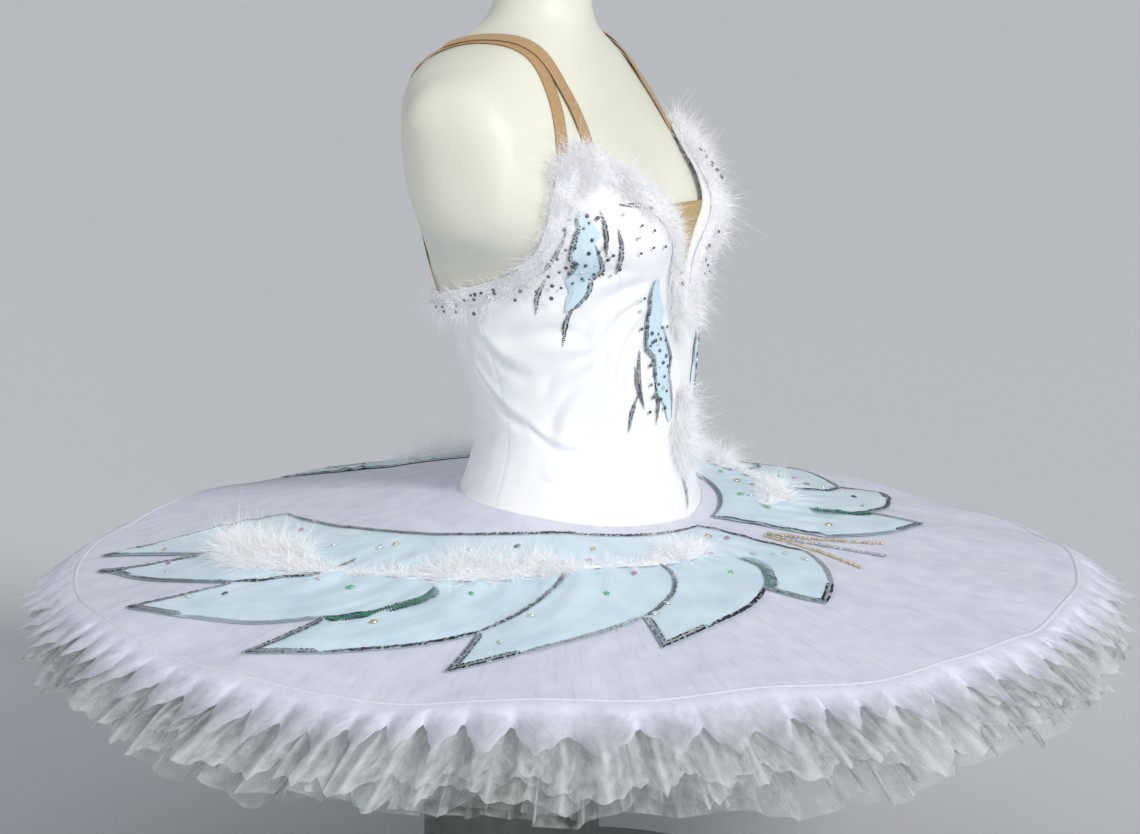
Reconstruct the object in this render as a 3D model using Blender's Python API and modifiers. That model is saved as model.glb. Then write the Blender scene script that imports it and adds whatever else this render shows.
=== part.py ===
"""Classical ballet tutu on a limbless dress form: solids only, at real size.

Metres, +Z up. The origin is the centre of the base plate's underside. The front of the garment
faces -Y and the wearer's right is -X. Angles run round the body from the centre front: 0 is the front (-Y),
90 the wearer's left (+X), -90 the right (-X) and 180 the back (+Y).

Cloth is an open surface with Solidify. Fur, straps and the form are lofts through closed rings.
"""

import math
from collections import namedtuple

import bmesh
import bpy
from mathutils import Vector

# ---------------------------------------------------------------- driving dimensions
GAP = 0.0003  # between pieces that are sewn or laid together
FORM_INSET = 0.0020  # the form's skin lies this far inside the figure that the pieces share
FORM_FULLNESS = 0.72  # the form's bust, as a share of the bodice's cups
COLUMN_DEGREES = 7.5  # the bodice's panels have a column of points this often
PANEL_ROWS = (0, 0.17, 0.33, 0.47, 0.59, 0.69, 0.77, 0.84, 0.91, 1)  # shares of the way up a panel
CLOTH_LIFT = 0.0006  # from the shared figure to the inside of the garment
BODICE_WALL = 0.0015
KNICKERS_WALL = 0.0010
NET_WALL = 0.0010
MOTIF_WALL = 0.0008
PANEL_MIDDLE = CLOTH_LIFT + BODICE_WALL / 2  # from the shared figure to the middle of a panel's wall
SEAM_HALF_GAP = 0.0003
CUP_MOTIF_CLEAR = 0.0020  # under a motif or a band of fur, which bridges the curves that it lies on
FRONT_MOTIF_CLEAR = 0.0017
NECKLINE_FUR_CLEAR = 0.0051
CENTRE_FUR_CLEAR = 0.0012
WING_CLEAR = 0.0017  # from the top net's wall to the wing, which bridges the net's folds
WING_FUR_CLEAR = 0.0008
HOOP_CLEAR = 0.0009
HOOP_RISE = 0.0018  # of the casing's ridge

BASE_RADIUS = 0.210
BASE_HEIGHT = 0.016
BASE_ROUNDING = 0.004
COLUMN_RADIUS = 0.088
COLUMN_BACK = 0.070  # the column stands this far behind the plate's centre

HOOP_WIDTH = 0.005
HOOP_STEPS = 54
WAVES = 40  # ruffle waves of one net layer
STEPS = 4  # points to a wave: crest, side, trough, side

STRAP_WIDTH = 0.014
STRAP_THICKNESS = 0.0012
OUTER_STRAP_LIFT = -0.0010  # from the shared figure to the strap's underside
INNER_STRAP_LIFT = 0.0010

# The figure that the form and the bodice share, one row for each height.
Row = namedtuple("Row", "height half_width front back squareness")
FIGURE = [
    Row(0.2620, 0.163, -0.098, 0.125, 2.2),
    Row(0.2900, 0.168, -0.105, 0.134, 2.2),
    Row(0.3300, 0.170, -0.112, 0.138, 2.1),
    Row(0.3700, 0.165, -0.115, 0.129, 2.1),
    Row(0.4100, 0.155, -0.114, 0.116, 2.1),
    Row(0.4500, 0.136, -0.109, 0.101, 2.1),
    Row(0.4950, 0.122, -0.105, 0.091, 2.1),
    Row(0.5400, 0.124, -0.107, 0.099, 2.1),
    Row(0.5850, 0.131, -0.109, 0.113, 2.2),
    Row(0.6250, 0.140, -0.108, 0.125, 2.2),
    Row(0.6600, 0.150, -0.104, 0.132, 2.3),
    Row(0.6900, 0.173, -0.099, 0.132, 2.4),
    Row(0.7200, 0.184, -0.090, 0.136, 2.5),
    Row(0.7750, 0.188, -0.066, 0.141, 2.5),
    Row(0.8080, 0.186, -0.048, 0.142, 2.5),
    Row(0.8360, 0.171, -0.031, 0.137, 2.4),
    Row(0.8530, 0.144, -0.023, 0.127, 2.3),
    Row(0.8680, 0.107, -0.018, 0.111, 2.2),
    Row(0.8790, 0.077, -0.016, 0.098, 2.1),
    Row(0.8910, 0.058, -0.015, 0.088, 2.0),
    Row(0.9090, 0.050, -0.013, 0.082, 2.0),
    Row(0.9370, 0.048, -0.013, 0.079, 2.0),
    Row(0.9700, 0.048, -0.015, 0.078, 2.0),
]
SHOULDER = {"depth": 0.044, "height": 0.765, "reach": 0.014, "wide": 0.066, "tall": 0.082, "edge": 0.08}
BUST = {"side": 0.083, "height": 0.700, "reach": 0.030, "wide": 0.052, "tall": 0.056}

# Edges of the bodice, one row for each angle from the centre front.
Edge = namedtuple("Edge", "angle height")
NECKLINE = [
    Edge(0, 0.625),
    Edge(4, 0.660),
    Edge(9, 0.700),
    Edge(20, 0.749),
    Edge(31, 0.779),
    Edge(44, 0.766),
    Edge(58, 0.722),
    Edge(72, 0.688),
    Edge(90, 0.657),
    Edge(120, 0.639),
    Edge(150, 0.627),
    Edge(180, 0.622),
]
HEM = [Edge(0, 0.412), Edge(45, 0.423), Edge(90, 0.435), Edge(120, 0.439), Edge(180, 0.441)]
LEG_EDGE = [Edge(0, 0.290), Edge(45, 0.308), Edge(90, 0.325), Edge(135, 0.308), Edge(180, 0.290)]
INSERT_TOP = 0.714  # upper edge of the skin-coloured net between the cups

# Panels of one side of the bodice, from the centre front to the centre back.
Panel = namedtuple("Panel", "name start end")
PANELS = [Panel("front", 0, 45), Panel("side", 45, 105), Panel("back", 105, 180)]

# Net layers from the top down. drop: of the root below the bodice's hem. From the root a layer runs to a
# bend, which is at the hoop on the top one, and falls from there to its rim. rise: of a wave's crest.
# point: depth of the points cut in the rim. shift: of the crests, in quarter waves.
Net = namedtuple("Net", "name drop bend_radius bend_height rim_radius rim_height rise point shift")
NETS = [
    Net("net_top", 0.003, 0.490, 0.360, 0.522, 0.343, 0.006, 0.016, 0),
    Net("net_2", 0.016, 0.483, 0.344, 0.523, 0.304, 0.011, 0.012, 1),
    Net("net_3", 0.029, 0.473, 0.326, 0.507, 0.283, 0.012, 0.007, 0),
    Net("net_4", 0.042, 0.456, 0.306, 0.487, 0.268, 0.012, 0.004, 1),
]
ROOT_OUT = CLOTH_LIFT + KNICKERS_WALL + GAP + NET_WALL / 2

# One side's strap routes over the shoulder: distance from the middle, and the tilt in degrees of a line
# from the shoulder's centre: 0 forward, 90 up, 180 back.
Stop = namedtuple("Stop", "side tilt")
SHOULDER_CENTRE = {"back": 0.050, "height": 0.775}
OUTER_STRAP = [
    Stop(0.138, 2),
    Stop(0.128, 16),
    Stop(0.117, 32),
    Stop(0.106, 52),
    Stop(0.100, 72),
    Stop(0.096, 92),
    Stop(0.093, 112),
    Stop(0.092, 132),
    Stop(0.091, 152),
    Stop(0.090, 172),
    Stop(0.089, 192),
    Stop(0.088, 209),
    Stop(0.087, 228),
    Stop(0.086, 247.5),
]
INNER_STRAP = [
    Stop(0.104, 6),
    Stop(0.100, 22),
    Stop(0.097, 40),
    Stop(0.095, 58),
    Stop(0.094, 78),
    Stop(0.093, 98),
    Stop(0.092, 116),
]

# Fur bands on the bodice: a route over it, with the band's half width and its thickness there.
Tuft = namedtuple("Tuft", "angle height half_width thickness")
FUR_NECKLINE = [
    Tuft(171, 0.617, 0.008, 0.005),
    Tuft(158, 0.619, 0.011, 0.007),
    Tuft(142, 0.623, 0.012, 0.008),
    Tuft(125, 0.629, 0.012, 0.008),
    Tuft(108, 0.637, 0.013, 0.008),
    Tuft(92, 0.648, 0.012, 0.007),
    Tuft(78, 0.669, 0.011, 0.007),
    Tuft(66, 0.696, 0.012, 0.009),
    Tuft(56, 0.726, 0.015, 0.011),
    Tuft(47, 0.752, 0.019, 0.013),
    Tuft(38, 0.764, 0.021, 0.014),
    Tuft(31, 0.751, 0.020, 0.013),
    Tuft(26, 0.730, 0.015, 0.011),
    Tuft(21, 0.705, 0.013, 0.010),
    Tuft(16.5, 0.679, 0.013, 0.009),
    Tuft(12, 0.655, 0.013, 0.009),
    Tuft(9, 0.630, 0.011, 0.009),
    Tuft(7, 0.606, 0.009, 0.008),
]
FUR_CENTRE = [
    Tuft(0, 0.541, 0.013, 0.010),
    Tuft(1, 0.522, 0.020, 0.015),
    Tuft(-1, 0.500, 0.021, 0.017),
    Tuft(1, 0.478, 0.019, 0.016),
    Tuft(0, 0.456, 0.012, 0.011),
]
# Feather motifs on the bodice: a spine from root to tip, with the half width there. Each side is cut in
# points, which stand where the other side has its notches.
MOTIF_POINTS = 3
MOTIF_NOTCH = 0.45  # of the half width
Vane = namedtuple("Vane", "angle height half_width")
MOTIF_CUP = [
    Vane(48, 0.722, 0.006),
    Vane(52, 0.700, 0.016),
    Vane(56, 0.676, 0.019),
    Vane(61, 0.652, 0.014),
    Vane(67, 0.630, 0.003),
]
MOTIF_FRONT = [
    Vane(27, 0.655, 0.005),
    Vane(26, 0.625, 0.015),
    Vane(23, 0.595, 0.019),
    Vane(19, 0.565, 0.017),
    Vane(15, 0.535, 0.011),
    Vane(12, 0.512, 0.002),
]

# The wing on the skirt: where along the skirt's width it begins and ends, from the root 0 to the hoop 1.
WING_START, WING_END = 6.0, 158.0
WING_FEATHERS = 7
WING_STEPS = 4  # columns to a feather
WING_ROWS = 3
WING_SWEEP = 24.0  # degrees that a feather's tip trails behind its root
Spine = namedtuple("Spine", "angle share half_width thickness")
FUR_WING = [
    Spine(24, 0.17, 0.009, 0.007),
    Spine(36, 0.22, 0.017, 0.012),
    Spine(48, 0.26, 0.012, 0.009),
    Spine(60, 0.27, 0.011, 0.009),
    Spine(74, 0.31, 0.018, 0.013),
    Spine(88, 0.36, 0.021, 0.015),
    Spine(102, 0.42, 0.014, 0.010),
    Spine(114, 0.48, 0.017, 0.013),
    Spine(127, 0.54, 0.025, 0.018),
    Spine(140, 0.57, 0.021, 0.015),
    Spine(149, 0.585, 0.010, 0.008),
]

# Linear colour, roughness.
Finish = namedtuple("Finish", "colour roughness")
FINISHES = {
    "form": Finish((0.80, 0.80, 0.70), 0.45),
    "stand": Finish((0.12, 0.13, 0.12), 0.55),
    "bodice": Finish((0.88, 0.88, 0.90), 0.60),
    "net": Finish((0.78, 0.80, 0.88), 0.80),
    "elastic": Finish((0.55, 0.31, 0.18), 0.70),
    "motif": Finish((0.55, 0.74, 0.84), 0.40),
    "fur": Finish((0.90, 0.90, 0.93), 0.90),
}


# ---------------------------------------------------------------- the figure
def between(rows, key, value, field):
    """A smooth curve through the rows' field, read where their key has this value."""
    keys = [getattr(row, key) for row in rows]
    values = [getattr(row, field) for row in rows]
    value = min(max(value, keys[0]), keys[-1])
    i = max(k for k in range(len(keys) - 1) if keys[k] <= value)
    span = keys[i + 1] - keys[i]
    t = (value - keys[i]) / span

    def slope(k):
        low, high = max(k - 1, 0), min(k + 1, len(keys) - 1)
        return (values[high] - values[low]) / (keys[high] - keys[low])

    a, b, c, d = values[i], values[i + 1], slope(i) * span, slope(i + 1) * span
    return a + t * c + t * t * (3 * (b - a) - 2 * c - d) + t**3 * (2 * (a - b) + c + d)


def figure_row(height):
    return Row(height, *(between(FIGURE, "height", height, f) for f in Row._fields[1:]))


def round_power(value, power):
    return math.copysign(abs(value) ** power, value)


def figure_skin(angle, height, fullness=1.0):
    """The point of the figure at this angle in degrees and this height."""
    row = figure_row(height)
    turn = math.radians(angle)
    power = 2 / row.squareness
    x = row.half_width * round_power(math.sin(turn), power)
    middle, depth = (row.front + row.back) / 2, (row.back - row.front) / 2
    y = middle - depth * round_power(math.cos(turn), power)
    if math.cos(turn) > 0:
        across = (abs(x) - BUST["side"]) / BUST["wide"]
        up = (height - BUST["height"]) / BUST["tall"]
        fade = min(1.0, math.cos(turn) / 0.35)
        y -= fullness * BUST["reach"] * fade * math.exp(-across * across - up * up)
    return Vector((x, y, height))


def form_skin(angle, height):
    """The form's own skin: a smaller bust, and a flat-ended cap at each shoulder."""
    point = figure_skin(angle, height, FORM_FULLNESS) - figure_normal(angle, height) * FORM_INSET
    across = (point.y - SHOULDER["depth"]) / SHOULDER["wide"]
    up = (height - SHOULDER["height"]) / SHOULDER["tall"]
    rim = (math.hypot(across, up) - 1) / SHOULDER["edge"]
    outward = min(1.0, max(0.0, (abs(point.x) - 0.115) / 0.04))
    if rim < 20:
        point.x += math.copysign(outward * SHOULDER["reach"] / (1 + math.exp(rim)), point.x)
    return point


def figure_normal(angle, height):
    step_angle, step_height = 0.5, 0.001
    round_it = figure_skin(angle + step_angle, height) - figure_skin(angle - step_angle, height)
    low = max(height - step_height, FIGURE[0].height)
    high = min(height + step_height, FIGURE[-1].height)
    up = figure_skin(angle, high) - figure_skin(angle, low)
    return round_it.cross(up).normalized()


def on_figure(angle, height, out):
    """The same point, moved off the figure by out."""
    return figure_skin(angle, height) + figure_normal(angle, height) * out


def edge_height(edges, angle):
    """Height of a cut edge: straight between the bodice's columns of points."""
    place = min(abs(angle), 180) / COLUMN_DEGREES
    low = min(int(place), round(180 / COLUMN_DEGREES) - 1) * COLUMN_DEGREES
    start = between(edges, "angle", low, "height")
    end = between(edges, "angle", low + COLUMN_DEGREES, "height")
    return start + (end - start) * (place - low / COLUMN_DEGREES)


def figure_excess(point):
    """Below 0 inside the figure and above 0 outside it."""
    if not FIGURE[0].height < point.z < FIGURE[-1].height:
        return 1.0
    row = figure_row(point.z)
    middle, depth = (row.front + row.back) / 2, (row.back - row.front) / 2
    across = (abs(point.x) / row.half_width) ** row.squareness
    return across + (abs(point.y - middle) / depth) ** row.squareness - 1


def on_shoulder(stop, sign, out):
    """The strap's point at this stop, moved off the figure by out, with the figure's normal there."""
    tilt = math.radians(stop.tilt)
    centre = Vector((sign * stop.side, SHOULDER_CENTRE["back"], SHOULDER_CENTRE["height"]))
    ray = Vector((0, -math.cos(tilt), math.sin(tilt)))
    low, high = 0.0, 0.4
    for _ in range(40):
        half = (low + high) / 2
        if figure_excess(centre + ray * half) < 0:
            low = half
        else:
            high = half
    point = centre + ray * low
    step = 0.002
    slopes = []
    for axis in (Vector((step, 0, 0)), Vector((0, step, 0)), Vector((0, 0, step))):
        slopes.append(figure_excess(point + axis) - figure_excess(point - axis))
    normal = Vector(slopes).normalized()
    return point + normal * out, normal


# ---------------------------------------------------------------- the skirt
def wave_angle(step):
    """The angle of a ruffle's step, in degrees. The waves are a little uneven."""
    turn = 2 * math.pi * step / (WAVES * STEPS)
    return math.degrees(turn + 0.018 * math.sin(3 * turn + 0.7) + 0.011 * math.sin(7 * turn + 2.0))


def rim_sway(angle):
    """Slow rise and fall of the whole rim."""
    turn = math.radians(angle)
    return 0.004 * math.sin(2 * turn + 1.9) + 0.003 * math.sin(5 * turn + 0.4)


def around(angle):
    """The same angle, between -180 and 180."""
    return (angle + 180) % 360 - 180


def net_point(net, angle, share, wave=0.0, reach=0.0):
    """A point of a net layer: share 0 at its root on the hips, 1 at its bend and 2 at its rim."""
    root = on_figure(angle, edge_height(HEM, around(angle)) - net.drop, ROOT_OUT)
    turn = math.radians(angle)
    outward = Vector((math.sin(turn), -math.cos(turn), 0))
    centre = Vector((0, 0, rim_sway(angle)))
    bend = centre + outward * net.bend_radius + Vector((0, 0, net.bend_height))
    rim = centre + outward * net.rim_radius + Vector((0, 0, net.rim_height))
    if share <= 1:
        point = root.lerp(bend, share)
        point.z = root.z + (bend.z - root.z) * share**1.15
        flutter = 0.0 if net is NETS[0] else 0.5 * share * share
    else:
        point = bend.lerp(rim, share - 1) + (rim - bend).normalized() * reach
        flutter = (share - 1) if net is NETS[0] else 0.5 * share
    point.z += flutter * net.rise * wave
    return point


def plate_normal(angle, share):
    top = NETS[0]
    round_it = net_point(top, angle + 0.5, share) - net_point(top, angle - 0.5, share)
    outward = net_point(top, angle, share + 0.01) - net_point(top, angle, share - 0.01)
    return outward.cross(round_it).normalized()


def on_plate(angle, share, out):
    """A point of the skirt's top layer, moved off it by out."""
    return net_point(NETS[0], angle, share) + plate_normal(angle, share) * out


# ---------------------------------------------------------------- making meshes
def finish_of(name):
    material = bpy.data.materials.get(name)
    if material is None:
        material = bpy.data.materials.new(name)
        material.use_nodes = True
        shader = material.node_tree.nodes["Principled BSDF"]
        shader.inputs["Base Color"].default_value = (*FINISHES[name].colour, 1)
        shader.inputs["Roughness"].default_value = FINISHES[name].roughness
        shader.inputs["Metallic"].default_value = 0
    return material


def new_object(name, mesh, finish):
    obj = bpy.data.objects.new(name, mesh)
    garment.objects.link(obj)
    mesh.materials.append(finish_of(finish))
    mesh.shade_smooth()
    mesh.set_sharp_from_angle(angle=math.radians(40))
    return obj


def mesh_of(name, form):
    bmesh.ops.recalc_face_normals(form, faces=form.faces)
    mesh = bpy.data.meshes.new(name)
    form.to_mesh(mesh)
    form.free()
    return mesh


def cloth(name, rows, wall, finish, closed_round=False):
    """A wall of this thickness, centred on the surface through rows of points."""
    form = bmesh.new()
    made = [[form.verts.new(p) for p in row] for row in rows]
    across = len(rows[0])
    for low, high in zip(made, made[1:]):
        for i in range(across if closed_round else across - 1):
            k = (i + 1) % across
            form.faces.new((low[i], low[k], high[k], high[i]))
    obj = new_object(name, mesh_of(name, form), finish)
    solid = obj.modifiers.new("wall", "SOLIDIFY")
    solid.thickness = wall
    solid.offset = 0
    return obj


def loft(name, rings, finish, closed_round=False):
    """A closed solid through rings of points. Its ends are flat faces, or meet when it is closed round."""
    form = bmesh.new()
    made = [[form.verts.new(p) for p in ring] for ring in rings]
    across = len(rings[0])
    for i in range(len(made) if closed_round else len(made) - 1):
        low, high = made[i], made[(i + 1) % len(made)]
        for k in range(across):
            n = (k + 1) % across
            form.faces.new((low[k], low[n], high[n], high[k]))
    if not closed_round:
        form.faces.new(made[0])
        form.faces.new(made[-1])
    return new_object(name, mesh_of(name, form), finish)


# ---------------------------------------------------------------- the form and its stand
def cylinder(name, radius, low, high, back, finish, segments):
    bpy.ops.mesh.primitive_cylinder_add(
        vertices=segments, radius=radius, depth=high - low, location=(0, back, (low + high) / 2)
    )
    obj = bpy.context.object
    obj.name = obj.data.name = name
    for holder in obj.users_collection:
        holder.objects.unlink(obj)
    garment.objects.link(obj)
    obj.data.materials.append(finish_of(finish))
    obj.data.shade_smooth()
    obj.data.set_sharp_from_angle(angle=math.radians(40))
    return obj


def make_stand():
    base = cylinder("form_base", BASE_RADIUS, 0, BASE_HEIGHT, 0, "stand", 56)
    edge = base.modifiers.new("rounding", "BEVEL")
    edge.width = BASE_ROUNDING
    edge.segments = 1
    edge.limit_method = "ANGLE"
    top = FIGURE[0].height - GAP
    cylinder("form_column", COLUMN_RADIUS, BASE_HEIGHT + GAP, top, COLUMN_BACK, "stand", 48)


def make_torso():
    """The form, with extra rings between the table's rows where the shoulders turn in."""
    columns = 36
    heights = [row.height for row in FIGURE]
    rings = []
    for height in heights:
        rings.append([form_skin(360 * i / columns, height) for i in range(columns)])
    loft("form_torso", rings, "form")


# ---------------------------------------------------------------- the bodice
def make_panel(panel, side, sign):
    """One cut piece, from the hem up to the neckline."""
    across = round((panel.end - panel.start) / COLUMN_DEGREES)
    rows = []
    for share in PANEL_ROWS:
        row = []
        for i in range(across + 1):
            angle = panel.start + (panel.end - panel.start) * i / across
            low, high = edge_height(HEM, angle), edge_height(NECKLINE, angle)
            height = low + (high - low) * share
            spread = math.degrees(SEAM_HALF_GAP / figure_row(height).half_width)
            if i == 0:
                angle += spread
            if i == across:
                angle -= spread
            row.append(on_figure(sign * angle, height, PANEL_MIDDLE))
        rows.append(row)
    cloth(f"bodice_{panel.name}_{side}", rows, BODICE_WALL, "bodice")


def on_bodice(angle, height, out):
    """A point of a panel's flat facet, moved off the panel's outside by out."""
    sign, turn = math.copysign(1, angle), min(abs(angle), 179.9)
    column = int(turn / COLUMN_DEGREES)
    across = turn / COLUMN_DEGREES - column
    low, high = edge_height(HEM, turn), edge_height(NECKLINE, turn)
    share = min(max((height - low) / (high - low), 0.0), 0.9999)
    j = max(k for k, row in enumerate(PANEL_ROWS) if row <= share)
    up = (share - PANEL_ROWS[j]) / (PANEL_ROWS[j + 1] - PANEL_ROWS[j])
    corners = []
    for k in (column, column + 1):
        side_low = edge_height(HEM, k * COLUMN_DEGREES)
        side_high = edge_height(NECKLINE, k * COLUMN_DEGREES)
        ends = []
        for part in (PANEL_ROWS[j], PANEL_ROWS[j + 1]):
            ends.append(figure_skin(k * COLUMN_DEGREES, side_low + (side_high - side_low) * part))
        corners.append(ends[0].lerp(ends[1], up))
    point = corners[0].lerp(corners[1], across)
    point += figure_skin(turn, height) - figure_skin(turn, low + (high - low) * share)
    point.x *= sign
    return point + figure_normal(angle, height) * (PANEL_MIDDLE + BODICE_WALL / 2 + out)


def make_insert():
    """Skin-coloured net that fills the V between the cups."""
    across, up = 6, 5
    low_height = edge_height(NECKLINE, 0) + 0.012
    middle = CLOTH_LIFT + KNICKERS_WALL / 2
    rows = []
    for j in range(up + 1):
        height = low_height + (INSERT_TOP - low_height) * j / up
        angles = [a / 100 for a in range(0, 1200)]
        edge = max(a for a in angles if edge_height(NECKLINE, a) <= height)
        edge -= math.degrees(0.0020 / figure_row(height).half_width)
        row = [on_figure(edge * (2 * i / across - 1), height, middle) for i in range(across + 1)]
        rows.append(row)
    cloth("neck_insert", rows, KNICKERS_WALL, "elastic")


def make_knickers():
    columns, down = 32, 4
    middle = CLOTH_LIFT + KNICKERS_WALL / 2
    rows = []
    for j in range(down + 1):
        row = []
        for i in range(columns):
            angle = 360 * i / columns - 180
            top = edge_height(HEM, angle) - GAP - 0.0003
            low = edge_height(LEG_EDGE, angle)
            row.append(on_figure(angle, top + (low - top) * j / down, middle))
        rows.append(row)
    cloth("knickers", rows, KNICKERS_WALL, "bodice", closed_round=True)


def make_strap(name, stops, sign, lift):
    """A flat elastic that follows the form over the shoulder."""
    route = smooth_route(stops, 2 * len(stops) - 1)
    spots = [on_shoulder(stop, sign, lift + STRAP_THICKNESS / 2) for stop in route]
    rings = []
    for i, (middle, out) in enumerate(spots):
        along = spots[min(i + 1, len(route) - 1)][0] - spots[max(i - 1, 0)][0]
        across = along.cross(out).normalized() * (STRAP_WIDTH / 2)
        up = across.cross(along).normalized() * (STRAP_THICKNESS / 2)
        rings.append([middle + s * across + t * up for s, t in ((-1, -1), (1, -1), (1, 1), (-1, 1))])
    loft(name, rings, "elastic")


# ---------------------------------------------------------------- fur and motifs on the bodice
def smooth_route(stops, count):
    """Evenly read points of a curve through a table's rows, as the same kind of row."""
    kind = type(stops[0])
    made = []
    for k in range(count):
        t = (len(stops) - 1) * k / (count - 1)
        i = min(int(t), len(stops) - 2)
        t -= i
        four = [stops[max(i - 1, 0)], stops[i], stops[i + 1], stops[min(i + 2, len(stops) - 1)]]
        fields = []
        for values in zip(*four):
            a, b, c, d = values
            slope_b, slope_c = (c - a) / 2, (d - b) / 2
            fields.append(
                b + t * slope_b + t * t * (3 * (c - b) - 2 * slope_b - slope_c)
                + t**3 * (2 * (b - c) + slope_b + slope_c)
            )
        made.append(kind(*fields))
    return made


def dome(place, centre, across, half_width, low, thickness):
    """A band's cross-section: flat on what it lies on, and rounded outside."""
    ring = [place(centre, across, half_width * s, low) for s in (-0.94, 0.0, 0.94)]
    for s in (1.0, 0.55, -0.55, -1.0):
        rise = low + 0.0015 + thickness * math.sqrt(max(0.0, 1 - s * s)) ** 0.8
        ring.append(place(centre, across, half_width * s, rise))
    return ring


def place_on_figure(centre, across, offset, out):
    """centre is an angle and a height; across is how both change for one metre sideways."""
    angle = centre[0] + across[0] * offset
    height = centre[1] + across[1] * offset
    return on_bodice(angle, height, out)


def sideways_on_figure(route, i, sign):
    """The step across a route, as angle and height for one metre."""
    before, here, after = route[max(i - 1, 0)], route[i], route[min(i + 1, len(route) - 1)]
    angle, height = sign * here.angle, here.height
    start = on_figure(sign * before.angle, before.height, 0)
    along = on_figure(sign * after.angle, after.height, 0) - start
    across = figure_normal(angle, height).cross(along).normalized()
    round_it = on_figure(angle + 0.5, height, 0) - on_figure(angle - 0.5, height, 0)
    return (across.dot(round_it.normalized()) / round_it.length, across.z)


def make_fur_band(name, stops, count, sign, swell, lay, low):
    """A band of fur along a route. It swells and narrows by a share of its size, so many times."""
    place, sideways = lay
    route = smooth_route(stops, count)
    rings = []
    for i, here in enumerate(route):
        size = 1 + swell[0] * math.sin(swell[1] * i / (count - 1) * 2 * math.pi)
        centre = (sign * here[0], here[1])
        across = sideways(route, i, sign)
        rings.append(dome(place, centre, across, here.half_width * size, low, here.thickness * size))
    loft(name, rings, "fur")


def make_motif(name, stops, sign, clear):
    """A feather-shaped cloth motif, laid on the bodice."""
    middle = clear + MOTIF_WALL / 2
    count = 4 * MOTIF_POINTS
    route = smooth_route(stops, count + 1)
    rows = []
    for i, here in enumerate(route):
        across = sideways_on_figure(route, i, sign)
        centre = (sign * here.angle, here.height)
        row = []
        for s in (-1, -0.5, 0, 0.5, 1):
            shift = 0.5 if s * sign > 0 else 0.0
            point = feather_point(MOTIF_POINTS * i / count + shift)
            half = here.half_width * (1 - MOTIF_NOTCH * (1 - point))
            row.append(place_on_figure(centre, across, half * s, middle))
        rows.append(row)
    cloth(name, rows, MOTIF_WALL, "motif")


# ---------------------------------------------------------------- the skirt's pieces
def make_net(net, spans):
    """One layer of net: a ring with ruffle waves and a rim cut in points."""
    rows = []
    for share in spans:
        row = []
        for step in range(WAVES * STEPS):
            angle = wave_angle(step)
            crest = math.cos(2 * math.pi * (step + net.shift) / STEPS)
            wave = crest * (1 + 0.25 * math.sin(math.radians(5 * angle) + 1.0))
            uneven = 1 + 0.3 * math.sin(2.3 * step + 5 * net.drop)
            reach = net.point * uneven * (1 if step % 2 else -1) if share == 2 else 0
            row.append(net_point(net, angle, share, wave, reach))
        rows.append(row)
    cloth(net.name, rows, NET_WALL, "net", closed_round=True)


def make_hoop_casing():
    """The casing's ridge on the top layer, over the hoop that holds the skirt out."""
    low = NET_WALL / 2 + HOOP_CLEAR
    half = HOOP_WIDTH / 2 / (NETS[0].bend_radius - FIGURE[4].half_width)
    rings = []
    for step in range(HOOP_STEPS):
        angle = 360 * step / HOOP_STEPS
        corners = ((-1, 0), (1, 0), (0.6, HOOP_RISE), (-0.6, HOOP_RISE))
        rings.append([on_plate(angle, 0.985 + s * half, low + out) for s, out in corners])
    loft("hoop_casing", rings, "net", closed_round=True)


def feather_point(feather):
    """How far an edge cut in feathers stands out there: 0 at a notch, 1 at the tip three quarters along."""
    within = feather - math.floor(feather)
    return (within / 0.75) ** 0.8 if within <= 0.75 else 4 * (1 - within)


def wing_edges(along):
    """The skirt's shares where the wing begins and ends. along is 0 at the wing's front, 1 at its back."""
    inner = 0.045 + 0.40 * (max(0.0, along - 0.40) / 0.60) ** 1.3
    outer = 0.50 + 0.43 * math.sin(math.pi / 2 * min(1.0, 1.5 * along))
    notch = 0.16 + 0.13 * along
    return inner, outer - notch * (1 - feather_point(along * WING_FEATHERS))


def make_wing(side, sign):
    """Pale blue cloth cut as a spread wing, laid on the top net."""
    middle = NET_WALL / 2 + WING_CLEAR + MOTIF_WALL / 2
    columns = WING_FEATHERS * WING_STEPS
    rows = [[] for _ in range(WING_ROWS + 1)]
    for i in range(columns + 1):
        along = i / columns
        angle = WING_START + (WING_END - WING_START) * along
        inner, outer = wing_edges(along)
        for j, row in enumerate(rows):
            share = inner + (outer - inner) * j / WING_ROWS
            sweep = WING_SWEEP * share * share * min(1.0, 5 * along, 5 * (1 - along))
            row.append(on_plate(sign * (angle + sweep), share, middle))
    cloth(f"wing_{side}", rows, MOTIF_WALL, "motif")


def place_on_plate(centre, across, offset, out):
    """centre is an angle and a share; across is how both change for one metre sideways."""
    return on_plate(centre[0] + across[0] * offset, centre[1] + across[1] * offset, out)


def sideways_on_plate(route, i, sign):
    """The step across a route over the top net, as angle and share for one metre."""
    before, here, after = route[max(i - 1, 0)], route[i], route[min(i + 1, len(route) - 1)]
    angle, share = sign * here.angle, here.share
    start = on_plate(sign * before.angle, before.share, 0)
    along = on_plate(sign * after.angle, after.share, 0) - start
    across = plate_normal(angle, share).cross(along).normalized()
    outward = on_plate(angle, share + 0.01, 0) - on_plate(angle, share, 0)
    round_it = on_plate(angle + 0.5, share, 0) - on_plate(angle - 0.5, share, 0)
    turn = across.dot(round_it.normalized()) / round_it.length
    return (turn, across.dot(outward.normalized()) / outward.length * 0.01)


# ---------------------------------------------------------------- the build
def clear_scene():
    for obj in list(bpy.data.objects):
        bpy.data.objects.remove(obj)


clear_scene()
garment = bpy.data.collections.new("ballet_tutu")
bpy.context.scene.collection.children.link(garment)

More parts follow.
